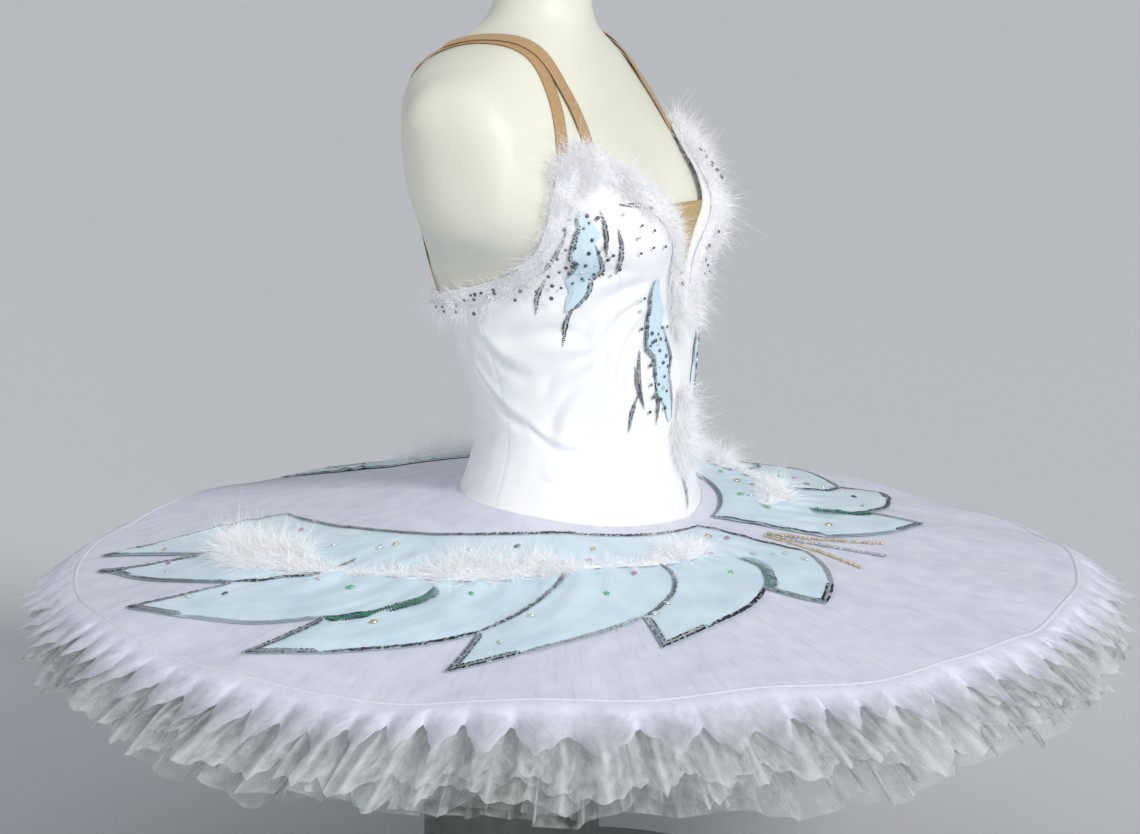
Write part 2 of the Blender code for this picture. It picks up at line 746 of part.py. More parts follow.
ON_FIGURE = (place_on_figure, sideways_on_figure)
ON_PLATE = (place_on_plate, sideways_on_plate)
WING_FUR_LOW = NET_WALL / 2 + WING_CLEAR + MOTIF_WALL + WING_FUR_CLEAR

make_stand()
make_torso()
make_knickers()
make_insert()
for side, sign in (("right", -1), ("left", 1)):
    for panel in PANELS:
        make_panel(panel, side, sign)
    make_strap(f"strap_outer_{side}", OUTER_STRAP, sign, OUTER_STRAP_LIFT)
    make_strap(f"strap_inner_{side}", INNER_STRAP, sign, INNER_STRAP_LIFT)
    make_motif(f"motif_cup_{side}", MOTIF_CUP, sign, CUP_MOTIF_CLEAR)
    make_motif(f"motif_front_{side}", MOTIF_FRONT, sign, FRONT_MOTIF_CLEAR)
    make_wing(side, sign)
    make_fur_band(f"fur_neckline_{side}", FUR_NECKLINE, 25, sign, (0.13, 7), ON_FIGURE, NECKLINE_FUR_CLEAR)
    make_fur_band(f"fur_wing_{side}", FUR_WING, 17, sign, (0.12, 5), ON_PLATE, WING_FUR_LOW)
make_fur_band("fur_centre", FUR_CENTRE, 9, 1, (0.13, 2), ON_FIGURE, CENTRE_FUR_CLEAR)
make_net(NETS[0], (0, 0.4, 1, 2))
for net in NETS[1:]:
    make_net(net, (0, 1, 2))
make_hoop_casing()
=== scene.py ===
import math

import bpy
import numpy as np
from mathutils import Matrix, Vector


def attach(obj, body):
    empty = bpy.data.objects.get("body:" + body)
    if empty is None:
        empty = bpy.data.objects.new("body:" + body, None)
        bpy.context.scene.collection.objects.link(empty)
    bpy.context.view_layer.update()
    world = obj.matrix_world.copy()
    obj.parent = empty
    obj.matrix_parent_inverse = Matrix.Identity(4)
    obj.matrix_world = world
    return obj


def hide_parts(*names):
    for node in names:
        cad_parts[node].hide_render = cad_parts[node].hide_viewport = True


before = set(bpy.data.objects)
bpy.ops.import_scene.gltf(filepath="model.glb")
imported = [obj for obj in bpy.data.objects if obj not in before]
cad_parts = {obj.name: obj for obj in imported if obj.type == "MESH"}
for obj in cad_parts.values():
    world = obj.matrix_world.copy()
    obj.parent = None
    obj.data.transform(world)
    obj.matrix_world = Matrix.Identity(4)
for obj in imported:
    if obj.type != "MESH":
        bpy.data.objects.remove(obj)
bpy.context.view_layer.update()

rng = np.random.default_rng(11)
scene = bpy.context.scene
SIDES = (("right", -1), ("left", 1))  # the wearer's sides, with the sign of their angles

# ---- sizes shared with the solids, in metres and degrees
GAP = 0.0003
CLOTH_LIFT = 0.0006
BODICE_WALL = 0.0015
KNICKERS_WALL = 0.0010
NET_WALL = 0.0010
PANEL_MIDDLE = CLOTH_LIFT + BODICE_WALL / 2
ROOT_OUT = CLOTH_LIFT + KNICKERS_WALL + GAP + NET_WALL / 2
WING_LIFT = 0.0011
FORM_INSET, FORM_FULLNESS = 0.0020, 0.72
STRAP_WIDTH, STRAP_THICKNESS = 0.014, 0.0012

# height, half width, front, back, squareness
FIGURE = np.array([
    (0.262, 0.163, -0.098, 0.125, 2.2),
    (0.290, 0.168, -0.105, 0.134, 2.2),
    (0.330, 0.170, -0.112, 0.138, 2.1),
    (0.370, 0.165, -0.115, 0.129, 2.1),
    (0.410, 0.155, -0.114, 0.116, 2.1),
    (0.450, 0.136, -0.109, 0.101, 2.1),
    (0.495, 0.122, -0.105, 0.091, 2.1),
    (0.540, 0.124, -0.107, 0.099, 2.1),
    (0.585, 0.131, -0.109, 0.113, 2.2),
    (0.625, 0.140, -0.108, 0.125, 2.2),
    (0.660, 0.150, -0.104, 0.132, 2.3),
    (0.690, 0.173, -0.099, 0.132, 2.4),
    (0.720, 0.184, -0.090, 0.136, 2.5),
    (0.775, 0.188, -0.066, 0.141, 2.5),
    (0.808, 0.186, -0.048, 0.142, 2.5),
    (0.836, 0.171, -0.031, 0.137, 2.4),
    (0.853, 0.144, -0.023, 0.127, 2.3),
    (0.868, 0.107, -0.018, 0.111, 2.2),
    (0.879, 0.077, -0.016, 0.098, 2.1),
    (0.891, 0.058, -0.015, 0.088, 2.0),
    (0.909, 0.050, -0.013, 0.082, 2.0),
    (0.937, 0.048, -0.013, 0.079, 2.0),
    (0.970, 0.048, -0.015, 0.078, 2.0),
])
BUST = {"side": 0.083, "height": 0.700, "reach": 0.030, "wide": 0.052, "tall": 0.056}
SHOULDER = {"depth": 0.044, "height": 0.765, "reach": 0.014, "wide": 0.066, "tall": 0.082, "edge": 0.05}

# angle from the centre front, height
NECKLINE = np.array([
    (0, 0.625), (4, 0.660), (9, 0.700), (20, 0.749), (31, 0.779), (44, 0.766), (58, 0.722),
    (72, 0.688), (90, 0.657), (120, 0.639), (150, 0.627), (180, 0.622),
])
HEM = np.array([(0, 0.412), (45, 0.423), (90, 0.435), (120, 0.439), (180, 0.441)])
LEG_EDGE = np.array([(0, 0.290), (45, 0.308), (90, 0.325), (135, 0.308), (180, 0.290)])
EDGE_COLUMNS = np.arange(0, 181, 7.5)  # where the solids read these edges
INSERT_TOP = 0.714
PANELS = {"front": (0, 45), "side": (45, 105), "back": (105, 180)}

# The straps turn about a point in the shoulder, given by its depth and height. Each row: side, tilt.
SHOULDER_CENTRE = (0.050, 0.775)
OUTER_STRAP = np.array([
    (0.144, -8), (0.137, 3), (0.128, 16), (0.117, 32), (0.106, 52), (0.100, 72), (0.096, 92),
    (0.093, 112), (0.092, 132), (0.091, 152), (0.090, 172), (0.089, 192), (0.088, 209), (0.087, 228),
    (0.086, 252),
])
INNER_STRAP = np.array([
    (0.107, -2), (0.104, 7), (0.100, 22), (0.097, 40), (0.095, 58), (0.094, 78), (0.093, 98),
    (0.092, 116),
])

# angle, height, half width, thickness
FUR_NECKLINE = np.array([
    (171, 0.617, 0.008, 0.005), (158, 0.619, 0.011, 0.007), (142, 0.623, 0.012, 0.008),
    (125, 0.629, 0.012, 0.008), (108, 0.637, 0.013, 0.008), (92, 0.648, 0.012, 0.007),
    (78, 0.669, 0.011, 0.007), (66, 0.696, 0.012, 0.009), (56, 0.726, 0.015, 0.011),
    (47, 0.752, 0.019, 0.013), (38, 0.764, 0.021, 0.014), (30, 0.753, 0.021, 0.013),
    (24, 0.734, 0.021, 0.012), (18.5, 0.709, 0.019, 0.011), (14, 0.682, 0.017, 0.010),
    (10.5, 0.657, 0.015, 0.012), (8.0, 0.631, 0.014, 0.012), (6.5, 0.608, 0.012, 0.011),
    (6.0, 0.593, 0.008, 0.008),
])
FUR_CENTRE = np.array([
    (0, 0.541, 0.013, 0.010), (1, 0.522, 0.020, 0.015), (-1, 0.500, 0.021, 0.017),
    (1, 0.478, 0.019, 0.016), (0, 0.456, 0.012, 0.011),
])
# angle, share of the skirt, half width, thickness
FUR_WING = np.array([
    (24, 0.17, 0.004, 0.003), (36, 0.22, 0.017, 0.012), (48, 0.26, 0.008, 0.006),
    (60, 0.27, 0.005, 0.004), (74, 0.31, 0.017, 0.012), (88, 0.36, 0.022, 0.015),
    (102, 0.42, 0.011, 0.007), (112, 0.47, 0.006, 0.004), (127, 0.54, 0.025, 0.018),
    (140, 0.57, 0.022, 0.016), (149, 0.585, 0.008, 0.006),
])
# angle, height, half width
MOTIF_CUP = np.array([
    (48, 0.722, 0.006), (52, 0.700, 0.016), (56, 0.676, 0.019), (61, 0.652, 0.014), (67, 0.630, 0.003),
])
MOTIF_FRONT = np.array([
    (27, 0.655, 0.005), (26, 0.625, 0.015), (23, 0.595, 0.019), (19, 0.565, 0.017),
    (15, 0.535, 0.011), (12, 0.512, 0.002),
])
MOTIF_POINTS, MOTIF_NOTCH = 3, 0.45
WING_START, WING_END, WING_FEATHERS, WING_SWEEP = 6.0, 158.0, 7, 24.0
# drop of the root, bend radius and height, rim radius and height
PLATE = (0.003, 0.490, 0.360, 0.522, 0.343)


# ---- the figure
def hermite(keys, values, x):
    """The smooth curve through a table's column."""
    x = np.clip(np.asarray(x, float), keys[0], keys[-1])
    i = np.clip(np.searchsorted(keys, x, side="right") - 1, 0, len(keys) - 2)
    low = np.maximum(np.arange(len(keys)) - 1, 0)
    high = np.minimum(np.arange(len(keys)) + 1, len(keys) - 1)
    slopes = (values[high] - values[low]) / (keys[high] - keys[low])
    span = keys[i + 1] - keys[i]
    t = (x - keys[i]) / span
    a, b, c, d = values[i], values[i + 1], slopes[i] * span, slopes[i + 1] * span
    return a + t * c + t * t * (3 * (b - a) - 2 * c - d) + t**3 * (2 * (a - b) + c + d)


def smooth_rows(table, count):
    """A curve through a table's rows, read evenly."""
    n = len(table)
    t = np.linspace(0, n - 1, count)
    i = np.minimum(t.astype(int), n - 2)
    t = (t - i)[:, None]
    a, b = table[np.maximum(i - 1, 0)], table[i]
    c, d = table[i + 1], table[np.minimum(i + 2, n - 1)]
    low, high = (c - a) / 2, (d - b) / 2
    return b + t * low + t * t * (3 * (c - b) - 2 * low - high) + t**3 * (2 * (b - c) + low + high)


def figure_row(height):
    return [hermite(FIGURE[:, 0], FIGURE[:, k], height) for k in range(1, 5)]


def signed_power(value, power):
    return np.sign(value) * np.abs(value) ** power


def alike(*values):
    """The values as arrays of one shape."""
    return np.broadcast_arrays(*(np.asarray(value, float) for value in values))


def unit(v):
    return v / np.maximum(np.linalg.norm(v, axis=-1, keepdims=True), 1e-12)


def bell(x):
    return np.exp(-x * x)


def figure_skin(angle, height, fullness=1.0):
    angle, height = alike(angle, height)
    half, front, back, square = figure_row(height)
    turn = np.radians(angle)
    x = half * signed_power(np.sin(turn), 2 / square)
    y = (front + back) / 2 - (back - front) / 2 * signed_power(np.cos(turn), 2 / square)
    across = (np.abs(x) - BUST["side"]) / BUST["wide"]
    up = (height - BUST["height"]) / BUST["tall"]
    fade = np.clip(np.cos(turn) / 0.35, 0, 1)
    y = y - fullness * BUST["reach"] * fade * bell(across) * bell(up)
    return np.stack([x, y, height], -1)


def one_degree(angle, height):
    """The step round the figure's skin for one degree."""
    return figure_skin(angle + 0.5, height) - figure_skin(angle - 0.5, height)


def figure_normal(angle, height):
    low = np.maximum(height - 0.001, FIGURE[0, 0])
    high = np.minimum(height + 0.001, FIGURE[-1, 0])
    return unit(np.cross(one_degree(angle, height), figure_skin(angle, high) - figure_skin(angle, low)))


def on_figure(angle, height, out):
    return figure_skin(angle, height) + figure_normal(angle, height) * np.asarray(out)[..., None]


def form_skin(angle, height):
    """The dress form, a little inside the figure, with a soft dome where each arm is cut."""
    point = figure_skin(angle, height, FORM_FULLNESS) - figure_normal(angle, height) * FORM_INSET
    across = (point[..., 1] - SHOULDER["depth"]) / SHOULDER["wide"]
    up = (height - SHOULDER["height"]) / SHOULDER["tall"]
    rim = np.clip((np.hypot(across, up) - 1) / SHOULDER["edge"], -30, 30)
    outward = np.clip((np.abs(point[..., 0]) - 0.115) / 0.04, 0, 1)
    point[..., 0] += np.sign(point[..., 0]) * outward * SHOULDER["reach"] / (1 + np.exp(rim))
    return point


def wrapped(angle):
    return (angle + 180) % 360 - 180


def edge_height(table, angle):
    at_columns = hermite(table[:, 0], table[:, 1], EDGE_COLUMNS)
    return np.interp(np.abs(wrapped(angle)), EDGE_COLUMNS, at_columns)


# ---- the skirt
# Soft troughs of the top net that run out from the waist: angle, depth at the hoop, width in degrees.
PLATE_TROUGHS = (
    (-8, 0.0042, 5), (14, 0.0036, 7), (38, 0.0028, 5), (62, 0.0040, 8), (95, 0.0032, 6), (128, 0.0038, 7),
    (160, 0.0034, 6), (-172, 0.0028, 5), (-140, 0.0038, 8), (-112, 0.0032, 5), (-84, 0.0040, 7),
    (-58, 0.0030, 5), (-34, 0.0042, 6), (-21, 0.0024, 4),
)
RIDGE = 0.6  # height of the ridge beside a trough, as a share of its depth
FINE_RELIEF = 0.0009


def waviness(x, y, seed, count=6):
    """A smooth random field between about -1 and 1, for folds and unevenness."""
    own = np.random.default_rng(seed)
    total = 0
    for k in range(count):
        fx, fy = own.normal(0, 1, 2) * (1 + 0.5 * k)
        total = total + np.sin(fx * x + fy * y + own.uniform(0, 6.28)) / (1 + 0.35 * k)
    return total / (0.6 * count)


def net_surface(layer, angle, share):
    """A net layer's smooth form: share 0 at its root on the hips, 1 at its bend and 2 at its rim."""
    drop, bend_radius, bend_height, rim_radius, rim_height = layer
    angle, share = alike(angle, share)
    root = on_figure(angle, edge_height(HEM, angle) - drop, ROOT_OUT)
    turn = np.radians(angle)
    sway = 0.004 * np.sin(2 * turn + 1.9) + 0.003 * np.sin(5 * turn + 0.4)

    def ring(radius, height):
        return np.stack([radius * np.sin(turn), -radius * np.cos(turn), sway + height], -1)

    bend = ring(bend_radius, bend_height)
    s = np.clip(share, 0, 1)[..., None]
    inner = root * (1 - s) + bend * s
    inner[..., 2] = root[..., 2] + (bend[..., 2] - root[..., 2]) * s[..., 0] ** 1.15
    return inner + (ring(rim_radius, rim_height) - bend) * np.maximum(share - 1, 0)[..., None]


def plate_normal(angle, share):
    share = np.minimum(share, 0.985)
    round_it = net_surface(PLATE, angle + 0.5, share) - net_surface(PLATE, angle - 0.5, share)
    outward = net_surface(PLATE, angle, share + 0.01) - net_surface(PLATE, angle, share - 0.01)
    return unit(np.cross(outward, round_it))


def plate_relief(angle, share):
    """How far the net stands above the skirt's smooth form, which its seams and gathers pull about."""
    angle, share = alike(angle, share)
    within = np.clip(share, 0, 1)
    rise = np.zeros(angle.shape)
    for centre, depth, width in PLATE_TROUGHS:
        trough = bell(wrapped(angle - centre - 4 * np.sin(4 * share)) / width)
        ridge = bell(wrapped(angle - centre - 1.5 * width) / width)
        rise += depth * within**1.5 * (RIDGE * ridge - trough)
    x, y = 9 * share * np.cos(np.radians(angle)), 9 * share * np.sin(np.radians(angle))
    return rise + FINE_RELIEF * within * waviness(x, y, 5, 8)


def on_net(angle, share, out):
    """A point of the top net as it lies, moved off it by out."""
    point = net_surface(PLATE, angle, share) + plate_normal(angle, share) * np.asarray(out)[..., None]
    point[..., 2] += plate_relief(angle, share)
    return point


# ---- meshes
STREAK_WIDTH, STREAK_LENGTH = 0.0060, 0.060  # of the streaks in a net, round it and out along it


def mesh_object(name, points, faces, material, smooth=True):
    points = np.asarray(points, np.float32).reshape(-1, 3)
    faces = np.asarray(faces, np.int32)
    mesh = bpy.data.meshes.new(name)
    mesh.vertices.add(len(points))
    mesh.vertices.foreach_set("co", points.ravel())
    mesh.loops.add(faces.size)
    mesh.loops.foreach_set("vertex_index", faces.ravel())
    mesh.polygons.add(len(faces))
    mesh.polygons.foreach_set("loop_start", np.arange(0, faces.size, faces.shape[1], dtype=np.int32))
    mesh.update(calc_edges=True)
    mesh.validate()
    mesh.materials.append(material)
    if smooth:
        mesh.shade_smooth()
    return placed(name, mesh)


def placed(name, mesh):
    obj = bpy.data.objects.new(name, mesh)
    scene.collection.objects.link(obj)
    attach(obj, "root")
    return obj


def grid_faces(rows, across, closed):
    r = np.arange(rows - 1)[:, None] * across
    c = np.arange(across if closed else across - 1)
    n = (c + 1) % across
    return np.stack([r + c, r + n, r + across + n, r + across + c], -1).reshape(-1, 4)


def grid_object(name, grid, material, closed=False):
    return mesh_object(name, grid, grid_faces(*grid.shape[:2], closed), material)


def cloth(name, node, grid, material, closed=False):
    """A piece of cloth that stands for a solid, which it hides."""
    obj = grid_object(name, grid, material, closed)
    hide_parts(node)
    return obj


def add_wall(obj, wall):
    solid = obj.modifiers.new("wall", "SOLIDIFY")
    solid.thickness = wall
    solid.offset = 0


def add_threads(obj, u, share, seed, cover):
    """How much of the light a net stops, and coordinates for streaks that run out along it."""
    around = np.pi * u / STREAK_WIDTH
    thread = np.stack(np.broadcast_arrays(around, share / STREAK_LENGTH, np.float64(seed)), -1)
    layers = (("cover", "FLOAT", "value", cover), ("thread", "FLOAT_VECTOR", "vector", thread))
    for key, kind, field, values in layers:
        layer = obj.data.attributes.new(key, kind, "POINT")
        layer.data.foreach_set(field, np.asarray(values, np.float32).ravel())


def along_line(points, step):
    """Points every step along a polyline, with the tangent at each and its share of the way."""
    lengths = np.r_[0, np.cumsum(np.linalg.norm(np.diff(points, axis=0), axis=1))]
    at = np.linspace(0, lengths[-1], max(2, int(lengths[-1] / step)))
    made = np.stack([np.interp(at, lengths, points[:, k]) for k in range(3)], -1)
    return made, unit(np.gradient(made, axis=0)), at / lengths[-1]


# ---- materials
def add_node(tree, kind, values=None, links=None, **settings):
    """A node with its inputs' values, what is linked to them, and its own settings."""
    node = tree.nodes.new(kind)
    for key, value in settings.items():
        setattr(node, key, value)
    for key, value in (values or {}).items():
        node.inputs[key].default_value = value
    for key, source in (links or {}).items():
        tree.links.new(source, node.inputs[key])
    return node


def new_material(name, colour, roughness, sheen=0.0, metallic=0.0, specular=0.5, coat=0.0):
    material = bpy.data.materials.new(name)
    material.use_nodes = True
    shader = material.node_tree.nodes["Principled BSDF"].inputs
    shader["Base Color"].default_value = (*colour, 1)
    shader["Roughness"].default_value = roughness
    shader["Metallic"].default_value = metallic
    shader["Specular IOR Level"].default_value = specular
    shader["Sheen Weight"].default_value = sheen
    shader["Sheen Roughness"].default_value = 0.4
    shader["Coat Weight"].default_value = coat
    return material, material.node_tree, shader


def add_noise(tree, scale, detail):
    place = {"Vector": add_node(tree, "ShaderNodeTexCoord").outputs["Object"]}
    return add_node(tree, "ShaderNodeTexNoise", {"Scale": scale, "Detail": detail}, place).outputs["Fac"]


def tint(tree, shader, source, low, high):
    """The base colour runs from one to the other as the source goes from low to high."""
    ramp = add_node(tree, "ShaderNodeValToRGB")
    for element, place, colour in zip(ramp.color_ramp.elements, (0.3, 0.7), (low, high)):
        element.position = place
        element.color = (*colour, 1)
    tree.links.new(source, ramp.inputs["Fac"])
    tree.links.new(ramp.outputs["Color"], shader["Base Color"])


def add_bump(tree, shader, source, distance, strength=1.0):
    values = {"Distance": distance, "Strength": strength}
    bump = add_node(tree, "ShaderNodeBump", values, {"Height": source})
    tree.links.new(bump.outputs["Normal"], shader["Normal"])


def weave(tree, pitch):
    """A plain weave's height: two sets of threads that cross, in the object's own axes."""
    place = {"Vector": add_node(tree, "ShaderNodeTexCoord").outputs["Object"]}
    values = {"Scale": 1 / pitch / 20, "Distortion": 0.3}
    waves = [add_node(tree, "ShaderNodeTexWave", values, place, bands_direction=way) for way in "XZ"]
    heights = {k: wave.outputs["Fac"] for k, wave in enumerate(waves)}
    return add_node(tree, "ShaderNodeMath", links=heights).outputs["Value"]


def satin(name, low, high, roughness, sheen):
    material, tree, shader = new_material(name, high, roughness, sheen, specular=0.4)
    tint(tree, shader, add_noise(tree, 28, 4), low, high)
    add_bump(tree, shader, weave(tree, 0.0006), 0.00008, 0.5)
    return material


def net_material(name, low, high, clouds, streaks, relief):
    """Net, whose threads are too fine to see one by one. Its cover attribute says how much light it
    stops, which streaks along its folds and clouds vary."""
    material, tree, shader = new_material(name, high, 0.85, sheen=0.15, specular=0.12)
    cloud = add_noise(tree, 45, 6)
    tint(tree, shader, cloud, low, high)
    thread = add_node(tree, "ShaderNodeAttribute", attribute_name="thread").outputs["Vector"]
    values = {"Scale": 1.0, "Detail": 3.0}
    streak = add_node(tree, "ShaderNodeTexNoise", values, {"Vector": thread}).outputs["Fac"]
    add_bump(tree, shader, streak, relief, 0.6)
    total = add_node(tree, "ShaderNodeAttribute", attribute_name="cover").outputs["Fac"]
    for source, amount in ((cloud, clouds), (streak, streaks)):
        values = {1: 2 * amount, 2: -amount}
        spread = add_node(tree, "ShaderNodeMath", values, {0: source}, operation="MULTIPLY_ADD")
        links = {0: total, 1: spread.outputs["Value"]}
        total = add_node(tree, "ShaderNodeMath", links=links, use_clamp=True).outputs["Value"]
    tree.links.new(total, shader["Alpha"])
    return material


def plain(name, low, high, roughness, scale, bump=0.0, **looks):
    material, tree, shader = new_material(name, high, roughness, **looks)
    noise = add_noise(tree, scale, 4)
    tint(tree, shader, noise, low, high)
    if bump:
        add_bump(tree, shader, noise, bump)
    return material


def stone(name, low, high, roughness, metallic):
    return plain(name, low, high, roughness, 400, metallic=metallic, coat=0.6)


WHITE_SATIN = satin("white_satin", (0.89, 0.90, 0.92), (0.95, 0.95, 0.96), 0.52, 0.25)
BLUE_SATIN = satin("pale_blue_satin", (0.55, 0.71, 0.80), (0.68, 0.82, 0.89), 0.42, 0.30)
PLATE_NET = net_material("plate_net", (0.63, 0.65, 0.755), (0.735, 0.745, 0.84), 0.15, 0.20, 0.00001)
LOWER_NET = net_material("ruffle_net", (0.52, 0.55, 0.56), (0.64, 0.67, 0.67), 0.10, 0.55, 0.0006)
WHITE_NET = plain("knickers_cloth", (0.75, 0.75, 0.80), (0.85, 0.85, 0.88), 0.8, 60, sheen=0.2)
SKIN_NET = plain("skin_net", (0.38, 0.275, 0.125), (0.455, 0.34, 0.165), 0.75, 500, 0.0002, sheen=0.2)
ELASTIC = plain("elastic", (0.41, 0.255, 0.118), (0.52, 0.335, 0.165), 0.6, 700, 0.0003, sheen=0.2)
BINDING = plain("white_binding", (0.80, 0.80, 0.82), (0.90, 0.90, 0.91), 0.55, 200, 0.0002)
HOOP_TAPE = plain("hoop_tape", (0.66, 0.67, 0.755), (0.76, 0.77, 0.835), 0.7, 300, 0.0002)
FUR_WHITE = plain("marabou", (0.90, 0.91, 0.94), (0.97, 0.97, 0.98), 0.8, 55, specular=0.2, sheen=0.3)
painted_glow = FUR_WHITE.node_tree.nodes["Principled BSDF"].inputs  # painted glow: the fur gives off a little light of its own, a painted brightness standing in for light scattered inside it
painted_glow["Emission Color"].default_value = (1, 1, 1, 1)
painted_glow["Emission Strength"].default_value = 0.05
FUR_CORE = plain("marabou_down", (0.84, 0.85, 0.90), (0.93, 0.93, 0.95), 0.95, 260, 0.003, specular=0.1)
FORM_SHELL = plain("form_shell", (0.74, 0.74, 0.625), (0.80, 0.80, 0.685), 0.42, 9, specular=0.45)
STAND_PAINT = plain("stand_paint", (0.10, 0.115, 0.105), (0.15, 0.165, 0.15), 0.5, 60, 0.0001)
BLACK_SEQUIN = plain("black_sequin", (0.015, 0.018, 0.022), (0.06, 0.065, 0.08), 0.22, 300, metallic=0.7)
SILVER_SEQUIN = plain("silver_sequin", (0.45, 0.47, 0.48), (0.85, 0.87, 0.88), 0.2, 300, metallic=0.95)
GREEN_SEQUIN = plain("green_sequin", (0.01, 0.16, 0.10), (0.06, 0.45, 0.30), 0.22, 300, metallic=0.6)
GOLD_BEAD = plain("gold_bead", (0.62, 0.46, 0.22), (0.90, 0.76, 0.48), 0.25, 300, metallic=0.8)
DARK_STONE = stone("dark_stone", (0.03, 0.035, 0.05), (0.16, 0.18, 0.22), 0.08, 0.5)
PINK_STONE = stone("pink_stone", (0.45, 0.10, 0.32), (0.75, 0.30, 0.55), 0.1, 0.3)
GREEN_STONE = stone("green_stone", (0.05, 0.35, 0.16), (0.20, 0.75, 0.35), 0.1, 0.3)
CLEAR_STONE = stone("clear_stone", (0.55, 0.57, 0.60), (0.90, 0.92, 0.94), 0.06, 0.5)


# ---- the form and its stand
def make_form():
    rings = 112  # up to the neck's rounded top edge
    bottom, neck = FIGURE[[0, -1], 0]
    heights = np.r_[np.linspace(bottom, neck - 0.002, rings), neck - 0.0005, neck]
    inset = np.r_[np.ones(rings), 0.975, 0.94]
    grid = form_skin(np.arange(0, 360, 3.0), heights[:, None])
    middle = grid.mean(1, keepdims=True) * np.array([1, 1, 0]) + grid * np.array([0, 0, 1])
    grid = middle + (grid - middle) * inset[:, None, None]
    rows, across = grid.shape[:2]
    points = np.concatenate([grid.reshape(-1, 3), grid[:1].mean(1), grid[-1:].mean(1)])
    low, high, top = rows * across, rows * across + 1, (rows - 1) * across
    pairs = [(i, (i + 1) % across) for i in range(across)]
    caps = [(n, i, low) for i, n in pairs] + [(top + i, top + n, high) for i, n in pairs]
    mesh = bpy.data.meshes.new("form_torso_shell")
    mesh.from_pydata(points.tolist(), [], grid_faces(rows, across, True).tolist() + caps)
    mesh.shade_smooth()
    mesh.set_sharp_from_angle(angle=math.radians(50))
    mesh.materials.append(FORM_SHELL)
    obj = placed("form_torso_shell", mesh)
    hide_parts("form_torso")


def paint(node, material):
    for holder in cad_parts[node].material_slots:
        holder.material = material


# ---- the bodice
# Creases of the bodice, one side: from angle and height to angle and height, width, depth.
CREASES = (
    (30, 0.655, 62, 0.606, 0.0070, 0.0034),
    (60, 0.606, 94, 0.590, 0.0080, 0.0028),
    (40, 0.668, 70, 0.634, 0.0060, 0.0020),
    (33, 0.632, 54, 0.574, 0.0060, 0.0032),
    (52, 0.577, 80, 0.512, 0.0070, 0.0030),
    (34, 0.606, 47, 0.545, 0.0055, 0.0026),
    (46, 0.548, 66, 0.498, 0.0060, 0.0022),
    (58, 0.590, 84, 0.552, 0.0060, 0.0018),
    (94, 0.518, 66, 0.492, 0.0045, 0.0020),
    (118, 0.562, 92, 0.514, 0.0055, 0.0020),
    (112, 0.600, 88, 0.560, 0.0070, 0.0015),
    (150, 0.520, 118, 0.504, 0.0050, 0.0016),
    (168, 0.500, 140, 0.488, 0.0050, 0.0014),
    (24, 0.508, 44, 0.494, 0.0055, 0.0014),
    (100, 0.625, 124, 0.585, 0.0070, 0.0014),
    (130, 0.600, 155, 0.560, 0.0070, 0.0013),
    (86, 0.470, 62, 0.452, 0.0060, 0.0010),
)
DEGREE = math.radians(1) * 0.135  # one degree round the bodice, in metres
SEAM_GROOVE, SEAM_WIDTH = 0.00025, 0.0026
PUCKER, PUCKER_WIDTH = 0.00012, 0.009
BODICE_UNEVEN = 0.0006
COLUMNS_PER_DEGREE, BODICE_ROWS = 1.35, 92
SEAM_SPREAD = 0.03  # degrees between a panel's edge and the seam's middle
NECK_BINDING, HEM_PIPING = 0.0016, 0.0013  # radii
INSERT_INSET = 0.0016
HEM_LIFT = 0.0008  # between the bodice's hem and the cloth that starts under it
INSERT_WALL, STRAP_WALL = 0.0004, 0.0010
STRAP_EDGE = 0.0003  # how far the strap's edges turn down


def crease_relief(angle, height, sign):
    """Soft uneven troughs with a low ridge beside each."""
    own = np.random.default_rng(30 + int(sign > 0))
    total = np.zeros(np.broadcast(angle, height).shape)
    for a0, z0, a1, z1, width, depth in CREASES:
        a0, a1 = a0 + own.normal(0, 1.5), a1 + own.normal(0, 1.5)
        z0, z1 = z0 + own.normal(0, 0.003), z1 + own.normal(0, 0.003)
        px, pz = (angle - a0) * DEGREE, height - z0
        qx, qz = (a1 - a0) * DEGREE, z1 - z0
        length = math.hypot(qx, qz)
        t = (px * qx + pz * qz) / length**2
        within = np.clip(t, 0, 1)
        side = (px * qz - pz * qx) / length + 0.10 * length * np.sin(np.pi * within)
        end = np.clip(np.minimum(t + 0.12, 1.12 - t) / 0.30, 0, 1)
        wide = width * (0.8 + 0.5 * within)
        ridge = 0.75 * bell((side - 1.7 * wide) / (1.1 * wide))
        total += depth * end * end * (3 - 2 * end) * (ridge - bell(side / wide))
    return total


def bodice_relief(angle, height, sign):
    angle = np.abs(angle)
    uneven = waviness(angle * 0.10, height * 34, 50 + int(sign > 0))
    return crease_relief(angle, height, sign) + BODICE_UNEVEN * uneven


def on_bodice(angle, height, sign, out):
    """A point out from the middle of the bodice's cloth as it lies, at an angle of either side."""
    return on_figure(angle, height, PANEL_MIDDLE + out + bodice_relief(angle, height, sign))


def make_bodice(side, sign):
    for name, (start, end) in PANELS.items():
        columns = int((end - start) * COLUMNS_PER_DEGREE)
        angle = np.linspace(start + SEAM_SPREAD, end - SEAM_SPREAD, columns)
        low, high = edge_height(HEM, angle), edge_height(NECKLINE, angle)
        height = low + (high - low) * np.linspace(0, 1, BODICE_ROWS)[:, None]
        to_seam = np.minimum(angle - start, end - angle) * np.radians(1) * figure_row(height)[0]
        pucker = np.sin(height * 900 + 2 * np.sin(height * 140 + start))
        seam = PUCKER * pucker * bell(to_seam / PUCKER_WIDTH) - SEAM_GROOVE * bell(to_seam / SEAM_WIDTH)
        grid = on_bodice(sign * angle, height, sign, seam)
        node = f"bodice_{name}_{side}"
        cloth(node + "_cloth", node, grid, WHITE_SATIN)


